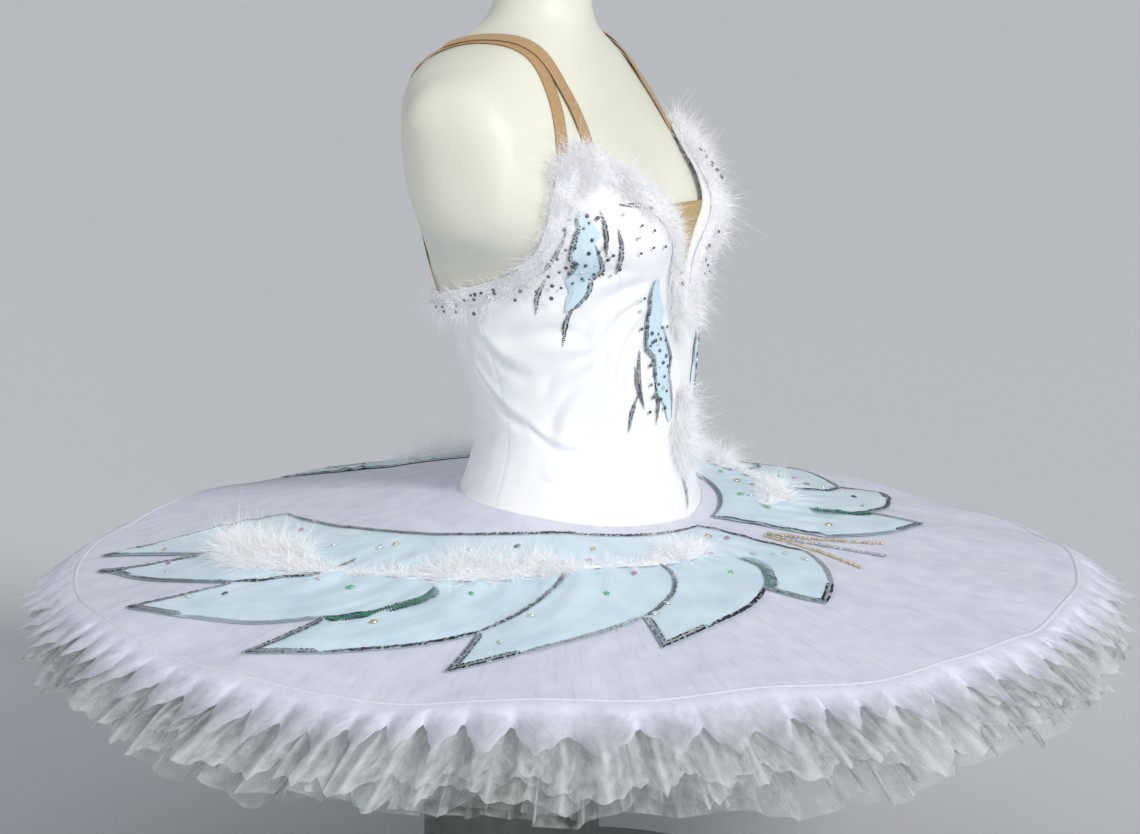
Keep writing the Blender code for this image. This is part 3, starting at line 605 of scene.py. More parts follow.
def tube(name, angle, height, lift, radius, sides=8):
    """A round binding along a line of the bodice."""
    points, normals = on_figure(angle, height, PANEL_MIDDLE + lift), figure_normal(angle, height)
    across = unit(np.cross(normals, unit(np.gradient(points, axis=0))))
    turn = np.linspace(0, 2 * np.pi, sides, endpoint=False)[:, None]
    ring = (across[:, None] * np.cos(turn) + normals[:, None] * np.sin(turn)) * radius
    grid_object(name, points[:, None] + ring, BINDING, closed=True)


def make_edges():
    for side, sign in SIDES:
        angle = sign * np.r_[np.linspace(0.6, 12, 40), np.linspace(12.3, 179.7, 260)]
        tube(f"neck_binding_{side}", angle, edge_height(NECKLINE, angle) + 0.0004, 0, NECK_BINDING)
    angle = np.arange(-180, 181.0)
    tube("hem_piping", angle, edge_height(HEM, angle) + 0.0010, 0.0004, HEM_PIPING, 6)


def make_insert():
    height = np.linspace(float(edge_height(NECKLINE, 0)) + 0.010, INSERT_TOP, 24)
    fine = np.linspace(0, 14, 1400)
    inset = np.degrees(INSERT_INSET / figure_row(height)[0])
    edge = np.interp(height, edge_height(NECKLINE, fine), fine) - inset
    grid = on_figure(edge[:, None] * np.linspace(-1, 1, 25), height[:, None], CLOTH_LIFT + INSERT_WALL)
    net = cloth("neck_insert_net", "neck_insert", grid, SKIN_NET)
    add_wall(net, INSERT_WALL)


def make_knickers():
    angle = np.arange(-180, 180, 2.5)
    top, low = edge_height(HEM, angle) - HEM_LIFT, edge_height(LEG_EDGE, angle)
    height = top + (low - top) * np.linspace(0, 1, 22)[:, None]
    relief = 0.0004 * waviness(angle * 0.2, height * 60, 71)
    grid = on_figure(angle, height, CLOTH_LIFT + KNICKERS_WALL / 2 + relief)
    cloth("knickers_cloth", "knickers", grid, WHITE_NET,
          closed=True)


def figure_excess(point):
    """Below zero inside the figure without its bust, and above zero outside."""
    x, y, z = point[..., 0], point[..., 1], point[..., 2]
    half, front, back, square = figure_row(z)
    across = (np.abs(x) / half) ** square
    depth = (np.abs(y - (front + back) / 2) / ((back - front) / 2)) ** square
    return np.where((z > FIGURE[0, 0]) & (z < FIGURE[-1, 0]), across + depth - 1, 1.0)


def make_strap(node, stops, sign, lift):
    """Rays from inside the shoulder, one at each tilt, find where the strap lies on the figure."""
    rows = smooth_rows(stops, 90)
    tilt = np.radians(rows[:, 1])
    centre = np.stack(alike(sign * rows[:, 0], *SHOULDER_CENTRE), -1)
    ray = np.stack([0 * tilt, -np.cos(tilt), np.sin(tilt)], -1)
    low, high = 0 * tilt, 0.4 + 0 * tilt
    for _ in range(40):
        half = (low + high) / 2
        inside = figure_excess(centre + ray * half[:, None]) < 0
        low, high = np.where(inside, half, low), np.where(inside, high, half)
    point = centre + ray * low[:, None]
    slopes = [figure_excess(point + axis) - figure_excess(point - axis) for axis in np.eye(3) * 0.002]
    normal = unit(np.stack(slopes, -1))
    middle = point + normal * (lift + STRAP_THICKNESS / 2)
    along = unit(np.gradient(middle, axis=0))
    across = unit(np.cross(along, normal))
    up = unit(np.cross(across, along))
    s = np.linspace(-1, 1, 9)[:, None]
    grid = middle[:, None] + across[:, None] * s * STRAP_WIDTH / 2 - up[:, None] * STRAP_EDGE * s**4
    strap = cloth(node + "_elastic", node, grid, ELASTIC)
    add_wall(strap, STRAP_WALL)


# ---- nets
# The node and the layer: drop, bend radius and height, rim radius and height. Then the number of flutes,
# their height, the depth of the cut points, how round the flutes are, and the cover.
RUFFLES = (
    ("net_2", (0.008, 0.487, 0.352, 0.524, 0.303), 72, 0.0080, 0.010, 0.0, 0.46),
    ("net_2", (0.012, 0.486, 0.349, 0.516, 0.297), 80, 0.0090, 0.008, 0.1, 0.38),
    ("net_2", (0.018, 0.484, 0.345, 0.510, 0.292), 72, 0.0100, 0.006, 0.4, 0.34),
    ("net_3", (0.026, 0.480, 0.340, 0.504, 0.286), 66, 0.0110, 0.004, 0.8, 0.30),
    ("net_3", (0.034, 0.473, 0.332, 0.500, 0.265), 56, 0.0140, 0.002, 1.0, 0.26),
    ("net_4", (0.042, 0.460, 0.318, 0.487, 0.262), 50, 0.0140, 0.002, 1.0, 0.30),
)
LEAN_FROM = -68  # the flutes lean away from this side of the skirt, and towards the sides square to it
LEAN = 0.042
COLUMNS_PER_FLUTE = 11
RIM_ROUGH, RIM_UNEVEN, LEAN_UNEVEN = 0.0030, 0.011, 0.005
ROLL = 0.42  # how far round flutes roll over sideways, as a share of their height
CRISP = 0.94  # nearly 1: flutes that aren't round fold to a sharp edge
ROOT_WAVE = 0.18  # of a flute's height at the bend, as a share of its height at the rim
FOLD_COVER, STRIP_COVER, RIM_COVER = 0.34, 0.07, 0.06  # what folds, chance and the rim add to the cover
PLATE_POINTS, POINT_DEPTH = 90, 0.019
PLATE_FLUTE, PLATE_SAG = 0.0026, 0.007  # past the bend, at the rim
PLATE_COVER, THINNING, THIN_AFTER = 1.55, 1.30, 0.050  # at the bend, past it, and how far out that ends
HOOP_PLACE, HOOP_SWAY, HOOP_HALF = 0.985, 0.0035, 0.0055  # the casing's, in shares of the skirt


def flute_fields(count, seed, uneven):
    """For each column: its share of the way round, the flute's phase, its size and its length."""
    own = np.random.default_rng(400 + seed)
    u = np.arange(count * COLUMNS_PER_FLUTE) / (count * COLUMNS_PER_FLUTE)
    phase = count * u
    for k in (2, 3, 5, 9, 14, 23):
        phase = phase + own.normal(0, 0.46 / k**0.5) * np.sin(2 * np.pi * (k * u + own.uniform()))
    at = np.arange(count + 1) / count
    sizes = own.uniform(1 - uneven, 1 + uneven, count)
    lengths = own.normal(0, 1, count).clip(-1.6, 1.6)
    return u, phase, *(np.interp(u, at, np.append(each, each[0])) for each in (sizes, lengths))


def cut_points(phase, depth, rough, seed):
    """How far the rim stands out: cut in points, with a finer raggedness."""
    saw = np.abs((phase % 1) * 2 - 1)
    fine = np.abs(((phase * 3.7 + seed) % 1) * 2 - 1)
    return depth * (2 * saw - 1) + rough * (2 * fine - 1)


def to_rim(layer, share, reach):
    """The skirt's shares with the rim moved out by reach, and how far each point is past the bend."""
    rim_length = math.hypot(layer[3] - layer[1], layer[4] - layer[2])
    t = np.maximum(share - 1, 0)
    return np.minimum(share, 1) + t * (1 + reach / rim_length), t, t * (rim_length + reach)


def leaning(angle):
    return LEAN * np.sin(np.radians(2 * (angle - LEAN_FROM)))


def make_ruffle(number, node, layer, count, wave, point, tubular, cover):
    u, phase, size, length = flute_fields(count, number, 0.50)
    angle, turn = 360 * u, 2 * np.pi * phase
    share = np.r_[0, 0.5, 0.8, 0.93, 1 + np.linspace(0, 1, 9)][:, None]
    cuts = phase if tubular < 0.5 else 1.37 * phase + 0.25
    reach = cut_points(cuts, point, RIM_ROUGH * (1 - tubular), number) + RIM_UNEVEN * np.roll(length, 4)
    shares, t, _ = to_rim(layer, share, reach)
    rise = np.clip(t / 0.6, 0, 1)
    rise = ROOT_WAVE + (1 - ROOT_WAVE) * rise * (1.6 - 0.6 * rise)
    grow = np.where(share <= 1, ROOT_WAVE * share**5, rise)
    lean = leaning(angle) + LEAN_UNEVEN * np.roll(length, 5 * COLUMNS_PER_FLUTE)
    shift = lean * t - ROLL * tubular * wave * size * grow * np.sin(2 * turn)
    _, bend_radius, bend_height, rim_radius, rim_height = layer
    grid = net_surface(layer, angle + np.degrees(shift / rim_radius), shares)
    slope = unit(np.array([rim_radius - bend_radius, rim_height - bend_height]))
    flat = np.clip(share, 0, 1) ** 6
    outward = np.radians(angle)
    side, up = -slope[1] * flat, slope[0] * flat + (1 - flat)
    normal = unit(np.stack([side * np.sin(outward), -side * np.cos(outward), up + 0 * outward], -1))
    crisp = np.arcsin(CRISP * np.cos(turn)) / math.asin(CRISP)
    fold = tubular * np.cos(turn) + (1 - tubular) * crisp
    fold = fold + 0.16 * np.cos(2 * turn + 1.3 * length) * (1 - 0.6 * tubular)
    fold = fold + 0.10 * np.cos(5 * turn + 2 * length)
    grid = grid + normal * (wave * size * grow * fold)[..., None]
    grid[..., 2] += plate_relief(angle, np.minimum(shares, 1)) * np.clip(share, 0, 1)
    folded = np.clip((np.abs(crisp) - 0.72) / 0.28, 0, 1) ** 1.5 - 0.25
    thick = cover + (1 - cover) * np.clip(1 - 1.8 * t, 0, 1)
    thick = thick + RIM_COVER * np.clip((t - 0.93) / 0.07, 0, 1)
    thick = thick + (FOLD_COVER * folded + STRIP_COVER * np.roll(length, 9)) * np.clip(2 * t, 0, 1)
    obj = cloth(f"ruffle_{number}", node, grid, LOWER_NET,
                closed=True)
    add_threads(obj, u, share * 0.3, 7 * number, thick)


def make_plate():
    u, phase, size, length = flute_fields(PLATE_POINTS, 77, 0.6)
    angle, around = 360 * u, 2 * np.pi * u
    share = np.r_[np.linspace(0, 1, 22), 1 + np.linspace(0, 1, 9)[1:]][:, None]
    reach = cut_points(phase, POINT_DEPTH, 0.0024, 2) * (0.70 + 0.40 * size) + 0.007 * length
    shares, t, past = to_rim(PLATE, share, reach)
    grid = net_surface(PLATE, angle + np.degrees(0.4 * leaning(angle) * t / 0.5), shares)
    fade = np.clip(21 * share, 0, 1)[..., None]  # the first row lies round the bodice's hem
    root = on_figure(angle, edge_height(HEM, angle) + HEM_LIFT, PANEL_MIDDLE + 0.0018)
    grid = grid * fade + (root + grid - grid[:1]) * (1 - fade)
    grid[..., 2] += plate_relief(angle, shares) * np.clip(2 - share, 0.4, 1)
    fold = size * np.cos(2 * np.pi * phase)
    fold = fold + waviness(around * 40, t * 4, 15)
    grid[..., 2] += PLATE_FLUTE * t * fold - PLATE_SAG * t * t
    thick = PLATE_COVER - THINNING * np.sqrt(np.clip(past / THIN_AFTER, 0, 1))
    obj = cloth("plate_net_cloth", "net_top", grid, PLATE_NET,
                closed=True)
    add_threads(obj, u, share * 0.35, 3, thick)


def make_hoop():
    angle = np.linspace(0, 360, 540, endpoint=False)
    turn = np.radians(angle)
    place = HOOP_PLACE + HOOP_SWAY * waviness(4 * np.cos(turn), 4 * np.sin(turn), 44)
    section = ((-1, 0.0001), (-0.6, 0.0007), (0, 0.0010), (0.6, 0.0007), (1, 0.0001))
    grid = np.stack([on_net(angle, place + s * HOOP_HALF, out) for s, out in section])
    cloth("hoop_casing_tape", "hoop_casing", grid, HOOP_TAPE,
          closed=True)


# ---- satin motifs
MOTIF_LIFT, LEAF_LIFT = 0.0014, 0.0010  # over the middle of the bodice's cloth
WING_PUFF, WING_WRINKLE, MOTIF_PUFF, MOTIF_WRINKLE = 0.0024, 0.0015, 0.0014, 0.0004


def feather_point(feather):
    """How far an edge cut in feathers stands out: 0 at a notch, 1 at the tip three quarters along."""
    within = feather - np.floor(feather)
    return np.where(within <= 0.75, (within / 0.75) ** 0.8, 4 * (1 - within))


def wing_edges(along):
    inner = 0.045 + 0.40 * (np.maximum(0.0, along - 0.40) / 0.60) ** 1.3
    outer = 0.50 + 0.43 * np.sin(np.pi / 2 * np.minimum(1.0, 1.5 * along))
    notch = 0.16 + 0.13 * along
    return inner, outer - notch * (1 - feather_point(along * WING_FEATHERS))


def wing_place(along, share):
    """Angle of a point of the wing, whose feathers trail back."""
    fade = np.minimum(1.0, np.minimum(5 * along, 5 * (1 - along)))
    return WING_START + (WING_END - WING_START) * along + WING_SWEEP * share * share * fade


def wing_relief(along, share):
    """How far the satin puffs up off the net."""
    inner, outer = wing_edges(along)
    t = np.clip((share - inner) / (outer - inner), 0, 1)
    within = (along * WING_FEATHERS) % 1
    wrinkles = waviness(along * 44, t * 9, 61) + bell((t - 0.45) / 0.22) * np.sin(along * 150 + 5 * t)
    relief = WING_PUFF * t * np.sin(np.pi * within) ** 0.7 + WING_WRINKLE * wrinkles
    return np.maximum(relief, -0.0002) * np.clip(9 * (1 - t), 0, 1) * np.clip(9 * t, 0, 1)


def on_wing(along, share, sign, out):
    """Points over the wing, out from its satin, for places along it and shares of the skirt."""
    return on_net(sign * wing_place(along, share), share, WING_LIFT + wing_relief(along, share) + out)


def make_wing(side, sign):
    along = np.linspace(0, 1, WING_FEATHERS * 32 + 1)
    inner, outer = wing_edges(along)
    grid = on_wing(along, inner + (outer - inner) * np.linspace(0, 1, 32)[:, None], sign, 0)
    cloth(f"wing_{side}_satin", f"wing_{side}", grid, BLUE_SATIN)


def sideways(table, sign, count):
    """A route over the figure: its rows, angle and height, and the step across it for one metre."""
    rows = smooth_rows(table, count)
    angle, height = sign * rows[:, 0], rows[:, 1]
    along = unit(np.gradient(figure_skin(angle, height), axis=0))
    across = unit(np.cross(figure_normal(angle, height), along))
    step = one_degree(angle, height)
    return rows, angle, height, (across * step).sum(-1) / (step**2).sum(-1), across[:, 2]


def motif_half(rows, along, side):
    """The motif's half width on one side: its points stand where the other side has notches."""
    point = feather_point(MOTIF_POINTS * along + (0.5 if side > 0 else 0.0))
    return np.maximum(rows[:, 2], 0.0012) * (1 - MOTIF_NOTCH * (1 - point))


def make_motif(node, table, sign):
    count = 73
    rows, angle, height, turn, rise = sideways(table, sign, count)
    along, s = np.linspace(0, 1, count), np.linspace(-1, 1, 17)
    halves = [motif_half(rows, along, side)[:, None] for side in (1, -1)]
    off = np.where(s * sign > 0, *halves) * s
    puff = MOTIF_PUFF * (1 - s * s) + MOTIF_WRINKLE * np.cos(s * 9) * np.sin(20 * along)[:, None]
    at, up = angle[:, None] + turn[:, None] * off, height[:, None] + rise[:, None] * off
    grid = on_bodice(at, up, sign, MOTIF_LIFT + puff)
    cloth(node + "_satin", node, grid, BLUE_SATIN)


# ---- sequins, beads and stones
class Scatter:
    """Many small copies of one shape, joined into one piece."""

    def __init__(self, name, shape, material):
        self.name, self.material = name, material
        self.template, self.faces = (np.array(part) for part in shape)
        self.points = []

    def add(self, places, tangents, normals, size):
        across = unit(np.cross(normals, tangents))
        axes = np.stack([np.cross(across, normals), across, normals], 1)
        self.points.append(places[:, None] + (self.template * size[:, None]) @ axes)

    def build(self):
        points = np.concatenate(self.points)
        starts = np.arange(len(points))[:, None, None] * len(self.template)
        faces = (self.faces + starts).reshape(-1, self.faces.shape[1])
        mesh_object(self.name, points, faces, self.material, smooth=False)


def circle(sides):
    turn = np.linspace(0, 2 * np.pi, sides, endpoint=False)
    return np.stack([np.cos(turn), np.sin(turn), 0 * turn], -1)


def disc(sides, dome):
    return np.r_[circle(sides), [[0, 0, dome]]], [(i, (i + 1) % sides, sides) for i in range(sides)]


def gem(sides):
    rings = [circle(sides) * r + np.array([0, 0, z]) for r, z in ((1.0, 0.0), (0.96, 0.25), (0.55, 0.62))]
    faces = []
    for a in range(2 * sides):
        b = a + 1 if (a + 1) % sides else a + 1 - sides
        faces += [(a, b, b + sides), (a, b + sides, a + sides)]
    faces += [(2 * sides + i, 2 * sides + (i + 1) % sides, 3 * sides) for i in range(sides)]
    return np.concatenate([*rings, [[0, 0, 0.64]]]), faces


BEAD = (
    [(1, 0, 0.5), (0, 1, 0.5), (-1, 0, 0.5), (0, -1, 0.5), (0, 0, 1.3), (0, 0, -0.3)],
    [(0, 1, 4), (1, 2, 4), (2, 3, 4), (3, 0, 4), (1, 0, 5), (2, 1, 5), (3, 2, 5), (0, 3, 5)],
)


def scatters(kind, shape, **materials):
    return {name: Scatter(f"{kind}_{name}", shape, material) for name, material in materials.items()}


sequins = scatters("sequins", disc(6, 0.35), black=BLACK_SEQUIN, silver=SILVER_SEQUIN, green=GREEN_SEQUIN)
stones = scatters("stones", gem(8), dark=DARK_STONE, pink=PINK_STONE, green=GREEN_STONE,
                  clear=CLEAR_STONE, gold=GOLD_BEAD)
beads = scatters("beads", BEAD, gold=GOLD_BEAD, silver=SILVER_SEQUIN)

# Rows of sequins beside a line: how far from it, and the colour.
DARK_SHARE = 0.74  # of the sequins in a mixed row
BOLD = ((0.0007, "mixed"), (0.0031, "silver"), (0.0055, "mixed"))
DOUBLE = ((0.0007, "mixed"), (0.0029, "mixed"))
FINE = ((0.0006, "silver"), (0.0027, "silver"))
SMALL = ((0.0005, "mixed"), (0.0021, "silver"), (0.0037, "mixed"))
GREENS = ((0.0010, "black"), (0.0034, "green"), (0.0058, "green"), (0.0082, "green"), (0.0106, "black"))
WING_SEQUIN, BODICE_SEQUIN = (0.0024, 0.0015), (0.0018, 0.0011)  # pitch in a row, radius
UNEVEN_ROW, SEQUIN_LIFT, OVERLAP = 0.00022, 0.0004, 0.32

# Feather outlines sewn straight on the white cloth: angle, height, half width.
LEAF_CUP = np.array([(41, 0.722, 0.003), (42, 0.703, 0.009), (44, 0.684, 0.010), (47, 0.664, 0.002)])
LEAF_FRONT = np.array([
    (33, 0.588, 0.003), (31, 0.570, 0.010), (28, 0.550, 0.013), (25, 0.530, 0.010), (23, 0.512, 0.002),
])
# Free strokes of sequins on each side of the bodice: angles and heights.
BODICE_STROKES = (
    ((58, 0.706), (66, 0.686), (76, 0.668), (88, 0.654)),
    ((18, 0.712), (25, 0.724), (34, 0.726)),
    ((64, 0.634), (69, 0.618), (71, 0.596)),
    ((74, 0.660), (79, 0.644), (80, 0.626)),
    ((34, 0.546), (39, 0.530), (40, 0.510)),
    ((37, 0.572), (36, 0.552), (31, 0.530)),
)
# Where stones are sewn on the bodice: angle, height, how far they spread, how many, and how far out.
BODICE_STONES = (
    (53, 0.690, 9, 0.030, 26, 0.0030), (66, 0.668, 7, 0.016, 12, 0.0030),
    (22, 0.566, 6, 0.040, 30, 0.0030), (30, 0.700, 6, 0.022, 8, 0.0030),
    (31, 0.622, 4, 0.018, 6, 0.0030), (88, 0.648, 16, 0.010, 12, 0.0085),
    (124, 0.630, 22, 0.008, 10, 0.0075), (158, 0.619, 12, 0.007, 5, 0.0060),
    (12, 0.664, 3, 0.022, 7, 0.0100),
)
FAR_CUP_STONES = ((24, 0.738, 5, 0.014, 14, 0.0120),)  # on the left cup's fur only
STONE_KINDS = (("dark", 0, 0.80), ("clear", 0.80, 0.97), ("green", 0.97, 1.0))
BODICE_STONE_SIZE = (0.0014, 0.0022)
SKIRT_STONES, SKIRT_STONE_SIZE = 42, np.array([0.0042, 0.0026, 0.0022])
SKIRT_KINDS = ("dark", "pink", "green", "clear", "clear", "gold")
# Strands of beads at the skirt's front: colour, first and last angle, share of the skirt at the end.
BEAD_STRANDS = (("gold", -1.5, -7.0, 0.50), ("silver", -0.5, 1.5, 0.52), ("gold", 0.8, 8.5, 0.49))
STRAND_START = 0.215
BEAD_PITCH, BEAD_SIZE = 0.0030, (0.0017, 0.0023)


def sequin_rows(line, normals_at, inward, rows, sequin, taper):
    """Rows of overlapping sequins beside a line. They close up at its ends, each over a taper's share."""
    pitch, radius = sequin
    points, tangent, at = along_line(line, pitch)
    places_at = np.linspace(0, 1, len(normals_at))
    normal = unit(np.stack([np.interp(at, places_at, normals_at[:, k]) for k in range(3)], -1))
    across = unit(np.cross(normal, tangent)) * inward
    wide = np.clip(np.minimum(at, 1 - at) / taper, 0, 1)[:, None] ** 0.6
    for offset, colour in rows:
        beside = offset * wide + rng.normal(0, UNEVEN_ROW, (len(points), 1))
        places = points + across * beside + normal * SEQUIN_LIFT
        tilt = unit(normal + tangent * OVERLAP + across * rng.normal(0, 0.16, (len(points), 1)))
        dark = rng.uniform(0, 1, len(points)) < DARK_SHARE
        kinds = {"black": dark, "silver": ~dark} if colour == "mixed" else {colour: slice(None)}
        for kind, pick in kinds.items():
            sequins[kind].add(places[pick], tangent[pick], tilt[pick], radius * (0.6 + 0.4 * wide[pick]))


def wing_stroke(along, share, sign, inward, rows):
    normal = plate_normal(sign * wing_place(along, share), share)
    sequin_rows(on_wing(along, share, sign, 0.0007), normal, inward * sign, rows, WING_SEQUIN, 0.10)


def wing_sequins(sign):
    """Each feather's leading edge has fine rows and its trailing edge bold ones. More run in from the
    notches."""
    for k in range(WING_FEATHERS):
        parts = ((0.0, 0.50, (FINE, DOUBLE)[k % 2]), (0.50, 0.745, BOLD), (0.755, 0.999, BOLD))
        for low, high, rows in parts:
            along = np.clip((k + np.linspace(low, high, 90)) / WING_FEATHERS, 0.003, 0.997)
            wing_stroke(along, wing_edges(along)[1] - 0.002, sign, 1, rows)
    along = np.linspace(0.003, 0.997, 700)
    wing_stroke(along, wing_edges(along)[0] + 0.002, sign, -1, DOUBLE)
    for end in (0.004, 0.996):
        low, high = wing_edges(end)
        wing_stroke(np.full(60, end), np.linspace(low, high, 60), sign, 0.5, DOUBLE)
    t = np.linspace(0, 1, 70)
    for k in range(1, WING_FEATHERS):
        start = k / WING_FEATHERS
        low, high = wing_edges(start)
        share = high - 0.005 - (0.66, 0.40, 0.58)[k % 3] * (high - low) * t
        along = start - 0.038 * np.sin(2.1 * t) * (1, 0.7)[k % 2]
        wing_stroke(along, share, sign, 1, GREENS if k in (1, 4) else DOUBLE)


def motif_sequins(table, sign, leaf=False):
    """The outline of a feather motif, or of a plain leaf, in rows that leave a part of each side bare."""
    count = 145
    rows, angle, height, turn, rise = sideways(table, sign, count)
    along = np.linspace(0, 1, count)
    lift = LEAF_LIFT if leaf else MOTIF_LIFT + 0.0006
    for side, start, end in ((-1, 0, 96), (1, 50, count)):
        off = side * 0.97 * (rows[:, 2] if leaf else motif_half(rows, along, side * sign))
        line = on_bodice(angle + turn * off, height + rise * off, sign, lift)[start:end]
        sequin_rows(line, figure_normal(angle, height)[start:end], -side, SMALL, BODICE_SEQUIN, 0.35)


def stroke(places, sign, rows=SMALL):
    """A free stroke of sequins on the bodice through a few places, each an angle and a height."""
    table = smooth_rows(np.array(places, float), 60)
    angle, height = sign * table[:, 0], table[:, 1]
    line = on_bodice(angle, height, sign, LEAF_LIFT)
    sequin_rows(line, figure_normal(angle, height), 1, rows, BODICE_SEQUIN, 0.45)


def spaced(own, count, tries=7):
    """Places in a square from -1 to 1 that keep apart."""
    made = [own.uniform(-1, 1, 2)]
    for _ in range(count - 1):
        options = own.uniform(-1, 1, (tries, 2))
        gaps = np.linalg.norm(options[:, None] - np.array(made), axis=-1).min(1)
        made.append(options[np.argmax(gaps)])
    return np.array(made).T


def bodice_stones(sign):
    own = np.random.default_rng(5 + int(sign > 0))
    for a0, z0, spread_a, spread_z, count, out in BODICE_STONES + (FAR_CUP_STONES if sign > 0 else ()):
        across, up = spaced(own, count)
        angle = sign * (a0 + across * spread_a)
        height = np.minimum(z0 + up * spread_z, edge_height(NECKLINE, angle) - 0.004)
        place, normal = on_bodice(angle, height, sign, out), figure_normal(angle, height)
        kind = own.uniform(0, 1, count)
        for name, low, high in STONE_KINDS:
            pick = (kind >= low) & (kind < high)
            size = own.uniform(*BODICE_STONE_SIZE, (pick.sum(), 1))
            stones[name].add(place[pick], (0, 0, 1), normal[pick], size)


def skirt_stones(sign):
    own = np.random.default_rng(15 + int(sign > 0))
    across, out = spaced(own, SKIRT_STONES)
    along = 0.5 + 0.47 * across
    inner, outer = wing_edges(along)
    share = inner + (outer - inner) * (0.5 + 0.38 * out)
    place = on_wing(along, share, sign, 0.0006)
    normal = plate_normal(sign * wing_place(along, share), share)
    kinds = np.array(SKIRT_KINDS)[own.integers(0, len(SKIRT_KINDS), SKIRT_STONES)]
    direction = unit(own.normal(0, 1, (SKIRT_STONES, 3)))
    for name in stones:
        pick = kinds == name
        size = SKIRT_STONE_SIZE * own.uniform(0.8, 1.1, (pick.sum(), 1))
        stones[name].add(place[pick], direction[pick], normal[pick], size)


def bead_strands():
    t = np.linspace(0, 1, 80)
    for colour, start, end, reach in BEAD_STRANDS:
        angle, share = start + (end - start) * t**1.3, STRAND_START + (reach - STRAND_START) * t
        points, tangent, _ = along_line(on_net(angle, share, NET_WALL / 2 + 0.0004), BEAD_PITCH)
        up = np.tile([0, 0, 1.0], (len(points), 1))
        wobble = rng.normal(0, 0.0006, points.shape) * np.array([1, 1, 0])
        beads[colour].add(points + wobble, tangent, up, rng.uniform(*BEAD_SIZE, (len(points), 1)))


# ---- marabou
CORE_WIDTH, CORE_HEIGHT = 0.60, 0.42  # of the down under the strands, as shares of the band's
LOOSE = 0.28  # share of the strands that grow outside the tufts
CURL, DROOP = 0.58, 0.12
LONGEST = 1.15  # the longest strand, as a share of a band's usual length
LUMPS = 0.55
TUFT_SIZE, TUFT_ALONG, TUFT_ACROSS = (0.65, 1.35), 1.8, 0.30
STRAND_WIDTH, STRAND_TAPER = (0.00018, 0.00034), np.array([[1.0], [0.9], [0.6], [0.15]])
FUR_BASE = PANEL_MIDDLE + BODICE_WALL / 2 + 0.0002


def strands(roots, directions, lengths, widths, own):
    """Thin tapering ribbons that curl and droop, of three steps each."""
    n = len(roots)
    t = np.array([[0], [0.36], [0.70], [1.0]])
    curve = own.normal(0, 1, (n, 3)) * CURL
    curve[:, 2] -= DROOP
    second = own.normal(0, 1, (n, 3)) * CURL * 0.7
    reach = lengths[:, None, None] * t
    line = roots[:, None] + directions[:, None] * reach + curve[:, None] * reach * t
    line = line + second[:, None] * reach * 0.6 * np.sin(5 * t)
    side = unit(np.cross(directions, own.normal(0, 1, (n, 3))))
    half = side[:, None] * widths[:, None, None] * STRAND_TAPER / 2
    k = np.arange(3) * 2
    faces = np.stack([k, k + 1, k + 3, k + 2], -1) + (np.arange(n) * 8)[:, None, None]
    return np.stack([line - half, line + half], 2), faces.reshape(-1, 4)


def make_fur(name, route, place, count, length, seed, spread=0.85):
    """A route is two coordinates along the band, the step across it for one metre, its half width and
    thickness, and the height of its base."""
    own = np.random.default_rng(seed)
    a, b, da, db, half, thick, low = route
    samples = len(a)
    s = np.linspace(-1, 1, 17)
    off = half[:, None] * s * CORE_WIDTH
    lumps = 1 + LUMPS * waviness(np.arange(samples)[:, None] * 0.22, s * 2.5, seed)
    lumps = np.clip(lumps, 0.1, 1.8) * np.maximum(1 - s * s, 0) ** 0.8
    height = low + thick[:, None] * CORE_HEIGHT * lumps
    core = place(a[:, None] + da[:, None] * off, b[:, None] + db[:, None] * off, height)
    down = grid_object(name + "_down", core, FUR_CORE)
    count = count
    tufts = max(8, samples // 3)
    weight = (half * thick) ** 1.5
    tuft_at = own.choice(samples, tufts, p=weight / weight.sum()) + own.uniform(-0.5, 0.5, tufts)
    tuft_side = own.uniform(-0.8, 0.8, tufts)
    tuft_way = own.normal(0, 1, (tufts, 3))
    tuft_size = own.uniform(*TUFT_SIZE, tufts)
    pick = own.integers(0, tufts, count)
    loose = own.uniform(0, 1, count) < LOOSE
    anywhere = own.uniform(0, samples - 1, count)
    at = np.where(loose, anywhere, tuft_at[pick] + own.normal(0, TUFT_ALONG, count)).clip(0, samples - 1)
    anywhere = own.uniform(-1, 1, count)
    across = np.where(loose, anywhere, tuft_side[pick] + own.normal(0, TUFT_ACROSS, count)).clip(-1, 1)
    a, b, da, db, half, thick = (np.interp(at, np.arange(samples), each) for each in route[:6])
    off = half * across * 0.9
    out = low + thick * 0.30 * np.sqrt(1 - across**2) * own.uniform(0.2, 1.4, count)
    roots = place(a + da * off, b + db * off, out)
    normal = unit(place(a + da * off, b + db * off, out + 0.002) - roots)
    side = unit(place(a + da * (off + 0.001), b + db * (off + 0.001), out) - roots)
    way = np.where(loose[:, None], own.normal(0, 1, (count, 3)) * 0.6, tuft_way[pick])
    direction = unit(
        normal * (0.50 + 0.35 * own.uniform(-1, 1, (count, 1)))
        + side * (spread * across[:, None] + 0.50 * own.normal(0, 1, (count, 1)) + 0.40 * way[:, :1])
        + np.cross(normal, side) * (0.60 * own.normal(0, 1, (count, 1)) + 0.50 * way[:, 1:2])
    )
    grow = np.clip(thick / 0.012, 0.55, 1.3) * np.where(loose, 0.9, tuft_size[pick])
    grow = grow * (0.40 + 0.85 * own.uniform(0, 1, count) ** 1.5)
    lengths = length * np.minimum(grow, LONGEST)
    widths = own.uniform(*STRAND_WIDTH, count) * 1.0
    points, faces = strands(roots, direction, lengths, widths, own)
    for obj in (down, mesh_object(name + "_marabou", points, faces, FUR_WHITE)):
        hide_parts(name)


